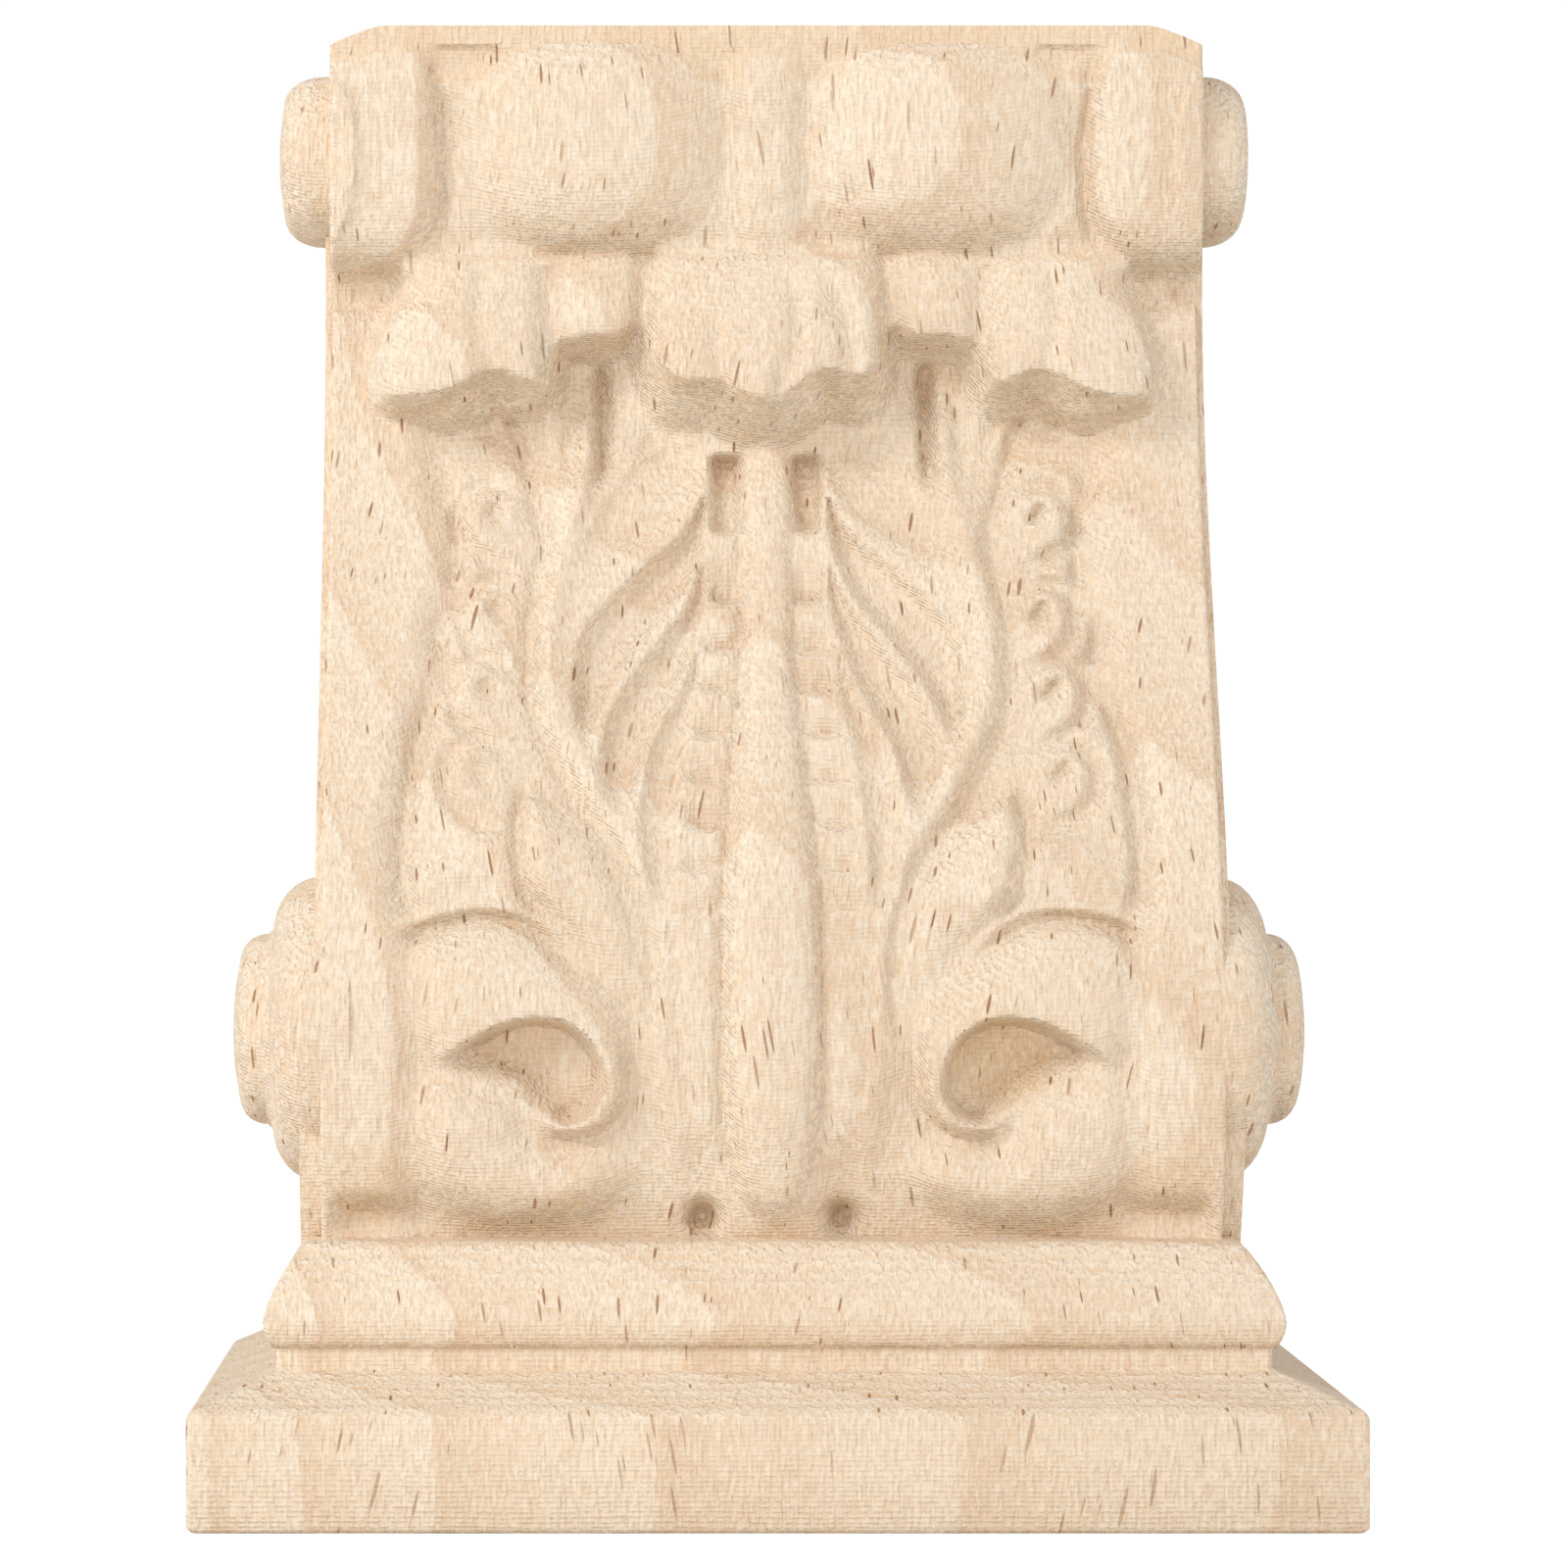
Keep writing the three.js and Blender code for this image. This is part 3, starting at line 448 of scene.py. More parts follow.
def leaf_tips(x, up):
    """All tips, as height above the sunk ground. The middle one isn't quite alike left and right."""
    across = np.abs(x)
    within = inside(x, up, TIPS)
    reach = np.interp(across, [0, 5, 10, 13, 17, 22, 26, 32, 37, 41],
                      [11.4, 11.2, 10.4, 8.0, 7.6, 7.8, 9.2, 9.8, 9.3, 8.4])
    growth = np.interp(up, [110, 118, 122, 126, 130, 132, 134, 137],
                       [1.0, 1.0, 0.95, 0.86, 0.72, 0.62, 0.48, 0.15])
    small = ease((up - 120) / 4) * bell(across - 18, 4) * SMALL_TIP_SHARE
    face = reach * (growth + small)
    for valley, deep, half in VALLEYS:
        gap, share, _ = follow(across, up, valley)
        face = face - deep * bell(gap, half) * ease(share / 0.15 + 0.3)
    for groove, deep, half in PETAL_GROOVES:
        gap, share, _ = follow(x, up, groove)
        face = face - deep * bell(gap, half) * ease(share / 0.35) * ease((1.15 - share) / 0.2)
    face = face - LIP_ROUND * np.exp(-np.clip(within, 0, None) / 1.3)
    wall = np.interp(up, [116, 120, 124, 128], [6.0, 4.4, 2.8, 2.2])
    wall = wall - 1.6 * ease((across - 12) / 4) * ease((124 - up) / 4)
    wall = wall + (SIDE_WALL - wall) * ease((across - 33) / 6)
    fall = np.clip(1 + within / wall, 0, 1)
    return np.where(within > 0, face, (face - 0.3) * fall ** 1.1)


middle_tip = float(leaf_tips(np.array([0.0]), np.array([119.0]))[0])
print("the middle tip stands", round(middle_tip, 1), "mm proud of the ground")

# %% [markdown]
# ## The roll
#
# Along the top runs a fat roll. Two egg-shaped bulbs fill it, with a narrow spine between them, and a plain
# band wraps it at each end and runs on into the border, parted from the bulb by a narrow groove. The round
# boss on the side laps a little over the outer edge of the band. The roll is worked out as a core that all
# of them stand on, and each is then added where it stands higher.

# %% Roll, bands, bulbs and spine
ROLL_UP, ROLL_RADIUS, ROLL_DEPTH = 144.6, 13.1, 19.0
CORE_RISE, BAND_RISE, EGG_RISE, SPINE_RISE = 10.4, 12.8, 4.8, 1.7
FULL_BELOW, FULL_ABOVE = 3.8, 5.0
EGG_ACROSS, EGG_HALF, EGG_UP, EGG_BELOW, EGG_ABOVE = 18.6, 14.6, 145.4, 13.1, 15.0
EGG_SINK, BAND_GROOVE, CORE_LIFT = 0.4, 0.9, 0.6
BOSS_UP, BOSS_HALF, BOSS_REACH, BOSS_LAP = 143.4, 9.2, 3.3, 0.85
ROLL_FOOT, BELOW_ROLL = 132.2, 14


def top_roll(across, up):
    """Depth of the roll from the flat back."""
    off = np.clip(np.abs((up - ROLL_UP) / ROLL_RADIUS), 0, 1)
    full = np.where(up < ROLL_UP, FULL_BELOW, FULL_ABOVE)
    circle = (1 - off ** full) ** (1 / full)
    lift = CORE_LIFT * ease((up - 146) / 5)
    core = ROLL_DEPTH + CORE_RISE * circle + lift
    end = ROLL_DEPTH + BAND_RISE * (1 - (off * 0.97) ** full) ** (1 / full)
    start = np.interp(up, [130, 133, 138, 144, 150, 157.6], [39.5, 36.6, 34.8, 34.5, 35.2, 36.0])
    depth = core + (end - core) * ease((across - start + 1.0) / np.interp(up, [146, 152], [4.6, 3.2]))
    tall = np.where(up < EGG_UP, EGG_BELOW, EGG_ABOVE)
    out, above = np.abs((across - EGG_ACROSS) / EGG_HALF), np.abs((up - EGG_UP) / tall)
    egg = np.clip(1 - out ** 2.2 - above ** 2.4, 0, 1) ** 0.8
    depth = meet(depth, core - EGG_SINK + (EGG_RISE - lift) * egg, 1.6)
    half = np.interp(up, [134, 140, 150, 157.6], [3.8, 4.2, 4.6, 5.6])
    depth = meet(depth, core + SPINE_RISE * (1 - np.clip(across / half, 0, 1) ** 2.5) * circle ** 0.5, 0.8)
    groove = bell(across - start + 0.3, 0.8) * ease((up - 133) / 3) * ease((156 - up) / 3)
    depth = depth - BAND_GROOVE * groove
    reach = BOSS_REACH * np.sqrt(np.clip(1 - ((up - BOSS_UP) / BOSS_HALF) ** 2, 0, 1))
    lap = ease((reach - TEMPLATE_HALF + across) / 0.6)
    depth = depth + (BOSS_LAP - 0.2 * (across - 43.5)) * lap
    return depth - BELOW_ROLL * ease((ROLL_FOOT - up) / 1.4)


roll_front = top_roll(np.array([0.0, EGG_ACROSS, 42.0]), np.full(3, ROLL_UP))
print("spine, bulb and band stand", [round(float(d), 1) for d in roll_front], "mm from the back")

# %% [markdown]
# ## The whole face
#
# Now the layers are put together: the S of the bands, the field with its leaves, the curls, the small round
# pits that the cutter left where it turned, the tips over them, and the roll on top. Above the roll a strip
# of the block's own face is left along the top edge. Between each band and bulb it runs down in a small flat
# recess, so there the height is never let below that face.

# %% Depth of the carved face
POCKETS = [(18.4, 119.4, 3.2, 4.0, 1.6), (43.0, 129.3, 6.5, 2.2, 1.9), (30.0, 114.2, 2.4, 1.2, 0.5),
           (11.6, 112.4, 2.6, 1.8, 0.9), (7.2, 34.5, 2.2, 5.0, 0.9)]
DRILL_MARKS = [(37.4, 59.2), (12.9, 56.4), (4.5, 104.2), (22.4, 131.4), (5.8, 134.6), (30.2, 114.6)]
PIT_ACROSS, PIT_UP, PIT_DEPTH, PIT_HALF = 7.2, 30.6, 4.4, 1.5
BAND_FOOT_UP, BAND_FOOT_DEPTH = 30.8, 2.0
ROLL_START, TIPS_END = 130.2, 138
CREASE_UP, CREASE_DEPTH = 133.3, 0.4
DRILL_DEPTH, DRILL_HALF = 0.35, 0.75
TOP_LAND, LAND_FOOT, LAND_SLANT = 30.8, 155.4, 0.2
RECESS, RECESS_IN, RECESS_OUT, RECESS_LOW, RECESS_HIGH = 0.5, 28.8, 36.2, 151.3, 155.6


def face_depth(x, up):
    """Depth of the carved face from the flat back, in template millimetres."""
    across = np.abs(x)
    edge = band_depth(up)
    ground, sunk = sunk_field(across, up)
    height = ground + outer_leaf(x, up, sunk) + inner_leaf(across, up) + midrib(across, up)
    height = belly_curl(across, up, height)
    height = height - PIT_DEPTH * bell(np.hypot(across - PIT_ACROSS, up - PIT_UP), PIT_HALF)
    on_band = ease((across - 35) / 4) * ease((TEMPLATE_HALF - across) / 2.5)
    height = height - BAND_FOOT_DEPTH * bell(up - BAND_FOOT_UP, 1.9) * on_band
    depth = edge + height
    rise = leaf_tips(x, up)
    depth = np.where(rise > 0.02, meet(depth, edge - GROUND + rise, 0.8), depth)
    for middle, pocket_up, wide, high, deep in POCKETS:
        out, above = (across - middle) / wide, (up - pocket_up) / high
        depth = depth - deep * np.exp(-(out ** 2 + above ** 2) ** 1.5)
    roll = meet(top_roll(across, up), np.where(up < TIPS_END, depth, 0), 1.0)
    depth = np.where(up > ROLL_START, roll, depth)
    depth = depth - CREASE_DEPTH * bell(up - CREASE_UP, 0.45) * ease((36 - across) / 4)
    for mark_across, mark_up in DRILL_MARKS:
        depth = depth - DRILL_DEPTH * bell(np.hypot(across - mark_across, up - mark_up), DRILL_HALF)
    land = TOP_LAND - LAND_SLANT * np.clip(155.5 - up, 0, 9)
    beside = ease((across - RECESS_IN) / 0.4) * ease((RECESS_OUT - across) / 0.8)
    recess = RECESS * beside * ease((up - RECESS_LOW) / 0.5) * ease((RECESS_HIGH - up) / 0.3)
    depth = np.where((up > 151) & (across < 44), np.maximum(depth, land - recess), depth)
    return np.where(up > LAND_FOOT, np.maximum(depth, TOP_LAND), depth)


print(len(POCKETS), "pockets and", len(DRILL_MARKS), "drill marks on each half, top strip at", TOP_LAND, "mm")

# %% [markdown]
# ## Carving the block
#
# A fine grid stands in for the face of the block, one vertex every 0.4 mm, and each vertex is moved to the
# depth that the functions above give. Sculpting by hand would need the same mesh and many hours, and
# modelling the leaf face by face would lose its soft blends. The rim is then extruded straight to the flat
# back and closed, which leaves a solid block with a carved front.

# %% The grid of the face, finer at the outer arrises
ROOT, ROOT_BACK = 5.0, 0.5
columns = np.arange(0, body_half - 0.8, CELL)
columns = np.concatenate([columns, body_half - np.array([0.75, 0.5, 0.3, 0.15, 0.05, 0])])
columns = np.concatenate([-columns[:0:-1], columns])
rows = np.linspace(body_foot - ROOT, total_height, round((body_height + ROOT) / CELL) + 1)
x, z = np.meshgrid(columns, rows)
up = TEMPLATE_FOOT + (z - body_foot) / stretch_up
depth = face_depth(x / stretch_across, up)
depth = np.where(z < body_foot, neck_depth - ROOT_BACK, depth)

ARRIS_RADIUS = 0.5
from_side = np.clip((body_half - np.abs(x)) / ARRIS_RADIUS, 0, 1)
depth = depth - ARRIS_RADIUS * (1 - np.sqrt(1 - (1 - from_side) ** 2))
CORNER_DROP, CORNER_RUN = 2.1, 5.8
to_corner = np.clip((np.abs(x) - body_half + CORNER_RUN) / CORNER_RUN, 0, 1)
z = z - CORNER_DROP * to_corner ** 1.3 * ease((up - 149) / 8)
print("face grid", len(columns), "by", len(rows))
print("depth", round(depth.min(), 1), "to", round(depth.max(), 1), "mm")

# %% Helpers for every piece
def deselect_all():
    """An operator works on all that is selected, so each new piece starts from nothing selected."""
    bpy.ops.object.select_all(action="DESELECT")


def take_up(piece):
    """Makes a piece the only one selected, and the active one."""
    deselect_all()
    piece.select_set(True)
    bpy.context.view_layer.objects.active = piece


def finish_solid():
    """Turns all faces of the piece in hand outwards and leaves edit mode."""
    bpy.ops.mesh.select_all(action="SELECT")
    bpy.ops.mesh.normals_make_consistent(inside=False)
    bpy.ops.object.mode_set(mode="OBJECT")
    return bpy.context.object


# %% The block
deselect_all()
bpy.ops.mesh.primitive_grid_add(x_subdivisions=len(columns) - 1, y_subdivisions=len(rows) - 1, size=1)
corbel = bpy.context.object
corbel.name = corbel.data.name = "carved_corbel"
places = np.zeros(len(corbel.data.vertices) * 3)
corbel.data.vertices.foreach_get("co", places)
places = places.reshape(-1, 3)
column = np.round((places[:, 0] + 0.5) * (len(columns) - 1)).astype(int)
row = np.round((places[:, 1] + 0.5) * (len(rows) - 1)).astype(int)
places = np.stack([x[row, column], back_y - depth[row, column], z[row, column]], 1) * MM
corbel.data.vertices.foreach_set("co", places.ravel())
corbel.data.update()

bpy.ops.object.mode_set(mode="EDIT")
bpy.ops.mesh.select_mode(type="EDGE")
bpy.ops.mesh.select_all(action="DESELECT")
bpy.ops.mesh.select_non_manifold()
bpy.ops.mesh.extrude_edges_move()
bpy.ops.transform.resize(value=(1, 0, 1), center_override=(0, back_y * MM, 0))
bpy.ops.mesh.edge_face_add()
finish_solid()
print("block with", len(corbel.data.polygons), "faces")

# %% [markdown]
# ## The mouldings
#
# The plinth and its mouldings run round three sides with mitred corners. They start as a flat rectangle on
# the floor, which is extruded up and scaled again and again, following the moulding's profile. The scaling
# keeps the back edge where it is, because the back of the corbel is flat. The front corners of the first
# rectangle are rounded a little, and every later ring keeps that rounding.

# %% One step of a profile
def raise_ring(lift, wide, deep, centre):
    """Extrudes the selected face up and scales it to the next ring of a profile."""
    bpy.ops.mesh.extrude_region_move(TRANSFORM_OT_translate={"value": (0, 0, lift * MM)})
    bpy.ops.transform.resize(value=(wide, deep, 1), center_override=centre)


print("each ring of a profile is one extrusion, scaled about a fixed point")

# %% The moulding's profile, as overhang and height
EDGE_RADIUS, CORNER_RADIUS, NOSE_UP, UNDERCUT = 1.2, 0.7, 2.6, 0.9
profile = [(overhang - 0.5, 0), (overhang, 0.5), (overhang, plinth_height - EDGE_RADIUS)]
for turn in np.radians([18, 36, 54, 72]):
    profile.append((overhang - EDGE_RADIUS * (1 - math.cos(turn)),
                    plinth_height - EDGE_RADIUS * (1 - math.sin(turn))))
profile += [(fillet_overhang + 0.3, slope_top - 0.1), (fillet_overhang, slope_top + 0.1),
            (fillet_overhang, torus_foot - 0.1), (fillet_overhang + 0.2, torus_foot)]
for share in np.linspace(0, 1, 17):
    rise = share * torus_height
    under = 1 - min(rise / NOSE_UP, 1)
    over = max((rise - NOSE_UP) / (torus_height - NOSE_UP), 0)
    shoulder = (torus_overhang - neck_overhang) * (1 - (1 - over ** 1.5) ** 0.9)
    profile.append((torus_overhang - UNDERCUT * under ** 2 - shoulder, torus_foot + rise + 0.02))
profile.append((0, body_foot + 0.02))
print("profile of", len(profile), "rings, up to", round(profile[-1][1], 1), "mm")

# %% The plinth and its mouldings
deselect_all()
bpy.ops.mesh.primitive_plane_add(size=1, location=(0, 0, 0))
bpy.ops.object.mode_set(mode="EDIT")
bpy.ops.transform.resize(value=(2 * (body_half + profile[0][0]) * MM, (neck_depth + profile[0][0]) * MM, 1))
bpy.ops.transform.translate(value=(0, (back_y - (neck_depth + profile[0][0]) / 2) * MM, 0))
bpy.ops.object.mode_set(mode="OBJECT")
mouldings = bpy.context.object
for vertex in mouldings.data.vertices:
    vertex.select = vertex.co.y < 0
for edge in mouldings.data.edges:
    edge.select = all(mouldings.data.vertices[v].select for v in edge.vertices)
for face in mouldings.data.polygons:
    face.select = False
bpy.ops.object.mode_set(mode="EDIT")
bpy.ops.mesh.select_mode(type="VERT")
bpy.ops.mesh.bevel(offset=CORNER_RADIUS * MM, segments=3, affect="VERTICES")
bpy.ops.mesh.select_mode(type="FACE")
bpy.ops.mesh.select_all(action="SELECT")
for (near, low), (far, high) in zip(profile[:-1], profile[1:]):
    raise_ring(high - low, (body_half + far) / (body_half + near), (neck_depth + far) / (neck_depth + near),
               (0, back_y * MM, 0))
mouldings = finish_solid()
print("mouldings in", len(profile) - 1, "steps,", len(mouldings.data.polygons), "faces")

# %% [markdown]
# ## The side scrolls
#
# On each side a round boss stands out at the belly and a smaller one at the roll, joined by a flat strap
# that follows the S. The bosses are made like the mouldings, by raising and scaling a disc, once for each
# size. Then they are turned on their side and set in place, and the place is applied to the mesh.

# %% Profiles of the bosses, as radius and stand
LOWER_RADIUS, LOWER_EYE_RADIUS, UPPER_RADIUS = 16.3, 10.2, 9.3
LOWER_UP = (BELLY_UP - TEMPLATE_FOOT) * stretch_up + 4.7 + body_foot
LOWER_DEPTH = BELLY_DEPTH + 0.2 - LOWER_RADIUS
UPPER_UP = total_height - 13.4
UPPER_DEPTH = ROLL_DEPTH + 1.8


def rounded_step(radius, start, stand, run):
    """Quarter-round shoulder from a radius up to a stand, over a run."""
    turns = np.radians(np.linspace(0, 90, 9))
    return [(radius - run * (1 - math.cos(t)), start + (stand - start) * math.sin(t)) for t in turns]


BOSS_ROOT = 3.0  # how far a boss reaches into the block
lower_boss = [(LOWER_RADIUS, -BOSS_ROOT)] + rounded_step(LOWER_RADIUS, 0.8, 5.7, 5.4)
lower_boss += rounded_step(LOWER_EYE_RADIUS, 6.4, 9.3, 2.6) + [(5.0, 9.8), (2.0, 10.05)]
upper_boss = [(UPPER_RADIUS, -BOSS_ROOT)] + rounded_step(UPPER_RADIUS, 1.2, 5.4, 3.0)
upper_boss += [(3.5, 5.8), (1.5, 5.9)]
print("bosses stand", lower_boss[-1][1], "and", upper_boss[-1][1], "mm out from the sides")

# %% Bosses
def boss(name, steps, up, depth, hand):
    """One boss, raised from a disc by its steps of radius and stand, and set on its side."""
    deselect_all()
    bpy.ops.mesh.primitive_circle_add(vertices=96, radius=steps[0][0] * MM, fill_type="NGON")
    bpy.ops.object.mode_set(mode="EDIT")
    bpy.ops.mesh.select_all(action="SELECT")
    for (r0, s0), (r1, s1) in zip(steps[:-1], steps[1:]):
        raise_ring(s1 - s0, r1 / r0, r1 / r0, (0, 0, 0))
    piece = finish_solid()
    piece.name = name
    piece.location = (hand * (body_half - BOSS_ROOT) * MM, (back_y - depth) * MM, up * MM)
    piece.rotation_euler = (0, hand * math.pi / 2, 0)
    bpy.ops.object.transform_apply(location=True, rotation=True, scale=True)
    return piece


additions = [mouldings]
for hand, side in ((-1, "left"), (1, "right")):
    additions.append(boss(f"belly_boss_{side}", lower_boss, LOWER_UP, LOWER_DEPTH, hand))
    additions.append(boss(f"roll_boss_{side}", upper_boss, UPPER_UP, UPPER_DEPTH, hand))
print("bosses at", round(LOWER_UP, 1), "and", round(UPPER_UP, 1), "mm up")

# %% Strap and tail on each side
def side_strip(name, hand, low, high, width, set_back, stand):
    """Flat strip on a side that follows the front's S between two heights."""
    deselect_all()
    bpy.ops.mesh.primitive_cube_add(size=1)
    bpy.ops.object.mode_set(mode="EDIT")
    bpy.ops.mesh.select_all(action="SELECT")
    bpy.ops.mesh.subdivide(number_cuts=23)
    bpy.ops.object.mode_set(mode="OBJECT")
    piece = bpy.context.object
    piece.name = name
    for vertex in piece.data.vertices:
        height = low + (high - low) * (vertex.co.z + 0.5)
        front = back_y - float(band_depth(TEMPLATE_FOOT + (height - body_foot) / stretch_up)) + set_back
        proud = body_half + stand if vertex.co.x > 0.49 else body_half - 2 + (stand + 2) * (vertex.co.x + 0.5)
        vertex.co = (hand * proud * MM, (front + width * (vertex.co.y + 0.5)) * MM, height * MM)
    bpy.ops.object.mode_set(mode="EDIT")
    return finish_solid()


for hand, side in ((-1, "left"), (1, "right")):
    additions.append(side_strip(f"strap_{side}", hand, LOWER_UP, UPPER_UP,
                                width=7.0, set_back=1.6, stand=0.8))
    additions.append(side_strip(f"tail_{side}", hand, body_foot - 2, LOWER_UP,
                                width=8.0, set_back=3.2, stand=2.4))
print(len(additions), "pieces to join to the block")

# %% [markdown]
# ## One piece of wood
#
# The block, mouldings, bosses and straps are one piece of wood, so they are joined by boolean unions, which
# leave no faces inside. Smooth shading with a sharp limit keeps the crisp arrises of the mouldings.

# %% Union
SHARP_ANGLE = math.radians(50)
take_up(corbel)
for piece in additions:
    union = corbel.modifiers.new("join", "BOOLEAN")
    union.operation = "UNION"
    union.solver = "MANIFOLD"
    union.object = piece
    bpy.ops.object.modifier_apply(modifier=union.name)
for piece in additions:
    bpy.data.objects.remove(piece)
take_up(corbel)
bpy.ops.object.shade_smooth_by_angle(angle=SHARP_ANGLE)
corbel.data.calc_loop_triangles()
print("corbel with", len(corbel.data.loop_triangles), "triangles")

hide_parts("corbel")
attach(corbel, "root")

# %% [markdown]
# ## Tools for the wood's shader
#
# The wood is unfinished, so all of its looks come from the timber itself and from the cutter. Each effect
# is a node group that reads the place on the block in millimetres and gives back a colour, a mask or a
# height. Groups keep the material readable, and each can be tried on its own. A few short helpers add the
# nodes, because the same few kinds are needed again and again.

# %% Adding nodes
def add_node(tree, kind, **settings):
    """Adds a node and sets its properties and inputs by name."""
    made = tree.nodes.new(kind)
    for name, value in settings.items():
        if hasattr(made, name):
            setattr(made, name, value)
        else:
            made.inputs[name].default_value = value
    return made


def maths(tree, operation, *values):
    """Adds a Math node, fed by sockets or plain numbers, and gives its result."""
    made = tree.nodes.new("ShaderNodeMath")
    made.operation = operation
    for socket, value in zip(made.inputs, values):
        if isinstance(value, bpy.types.NodeSocket):
            tree.links.new(value, socket)
        else:
            socket.default_value = value
    return made.outputs[0]


print("a node's settings and inputs are given by name")

# %% Place, noise and groups
def blend_range(tree, value, low, high, out_low=0.0, out_high=1.0):
    """Soft step between two values."""
    made = add_node(tree, "ShaderNodeMapRange", interpolation_type="SMOOTHSTEP")
    tree.links.new(value, made.inputs["Value"])
    for name, number in (("From Min", low), ("From Max", high), ("To Min", out_low), ("To Max", out_high)):
        made.inputs[name].default_value = number
    return made.outputs["Result"]


def stretched(tree, vector, scale):
    """The place on the block, scaled by a factor along each axis."""
    made = add_node(tree, "ShaderNodeVectorMath", operation="MULTIPLY")
    tree.links.new(vector, made.inputs[0])
    made.inputs[1].default_value = scale
    return made.outputs[0]


def speckle(tree, vector, scale, detail=1.0):
    """Noise between 0 and 1 at a scale along each axis."""
    made = add_node(tree, "ShaderNodeTexNoise", Scale=1.0, Detail=detail)
    tree.links.new(stretched(tree, vector, scale), made.inputs["Vector"])
    return made.outputs["Fac"]


def new_group(name, outputs):
    """A node group that takes the place in millimetres, with the outputs named."""
    tree = bpy.data.node_groups.new(name, "ShaderNodeTree")
    tree.interface.new_socket("Place", in_out="INPUT", socket_type="NodeSocketVector")
    for label, kind in outputs:
        tree.interface.new_socket(label, in_out="OUTPUT", socket_type=kind)
    return tree, tree.nodes.new("NodeGroupInput").outputs["Place"], tree.nodes.new("NodeGroupOutput")


print("node groups so far:", len(bpy.data.node_groups))

# %% [markdown]
# ## Growth rings
#
# The carved face cuts through the growth rings at a slant, and each ring shows as a broad zone that starts
# pale and darkens slowly until the next ring starts with a sudden edge. The rings of a plain-sawn board are
# nearly flat layers, so the zones can be cut from a stack of tilted layers in space. That way they follow
# the relief round every curve, as in real wood, which a pattern painted on the face would not do.

# %% Ring zones
RING_GAP, RING_START, RING_TILT = 8.9, 27.5, 0.30
RING_BEND, BEND_START = 0.009, -20.0
WANDER, FRAYED = 5.0, 0.8
RING_TONES = [(0.0, (0.81, 0.61, 0.42)), (0.05, (0.92, 0.765, 0.585)), (0.4, (0.90, 0.74, 0.555)),
              (0.75, (0.87, 0.69, 0.50)), (1.0, (0.81, 0.61, 0.42))]


def make_rings():
    """The colour of the ring zones."""
    tree, place, out = new_group("growth rings", [("Color", "NodeSocketColor")])
    parts = add_node(tree, "ShaderNodeSeparateXYZ")
    tree.links.new(place, parts.inputs[0])
    depth_in = maths(tree, "SUBTRACT", back_y, parts.outputs["Y"])
    tilt = maths(tree, "MULTIPLY", parts.outputs["X"], RING_TILT)
    far_left = maths(tree, "MAXIMUM", maths(tree, "SUBTRACT", BEND_START, parts.outputs["X"]), 0.0)
    bent = maths(tree, "MULTIPLY", maths(tree, "MULTIPLY", far_left, far_left), RING_BEND)
    layer = maths(tree, "ADD", maths(tree, "SUBTRACT", depth_in, tilt), bent)
    for scale, reach in (((0.03, 0.03, 0.012), WANDER), ((1.3, 1.3, 0.05), FRAYED)):
        off = maths(tree, "SUBTRACT", speckle(tree, place, scale), 0.5)
        layer = maths(tree, "ADD", layer, maths(tree, "MULTIPLY", off, reach))
    turn = maths(tree, "DIVIDE", maths(tree, "SUBTRACT", layer, RING_START), RING_GAP)
    age = maths(tree, "FRACT", turn)
    ramp = add_node(tree, "ShaderNodeValToRGB")
    tree.links.new(age, ramp.inputs["Fac"])
    for position, _ in RING_TONES[1:-1]:
        ramp.color_ramp.elements.new(position)
    for element, (_, tone) in zip(ramp.color_ramp.elements, RING_TONES):
        element.color = (*tone, 1)
    tree.links.new(ramp.outputs["Color"], out.inputs["Color"])
    return tree


rings = make_rings()
print("ring zones", RING_GAP, "mm apart")

# %% [markdown]
# ## Pores
#
# The wood's vessels are open tubes that run up the block. Where the face is upright they show as short brown
# dashes, and where it looks up or down they show as dots. Cells stretched along the grain give both at once,
# because a cut through a long cell is a dash or a dot by itself. Round each dark pore the wood is stained a
# little, so the group also gives a wider, softer halo. A slow wave bends the rows of pores, as in real grain.

# %% Pores
PORE_BEND, PORE_WAVE, PORE_LEAN = 1.6, 0.13, 0.09
PORE_SMALLEST, PORE_SPREAD = 0.06, 0.16


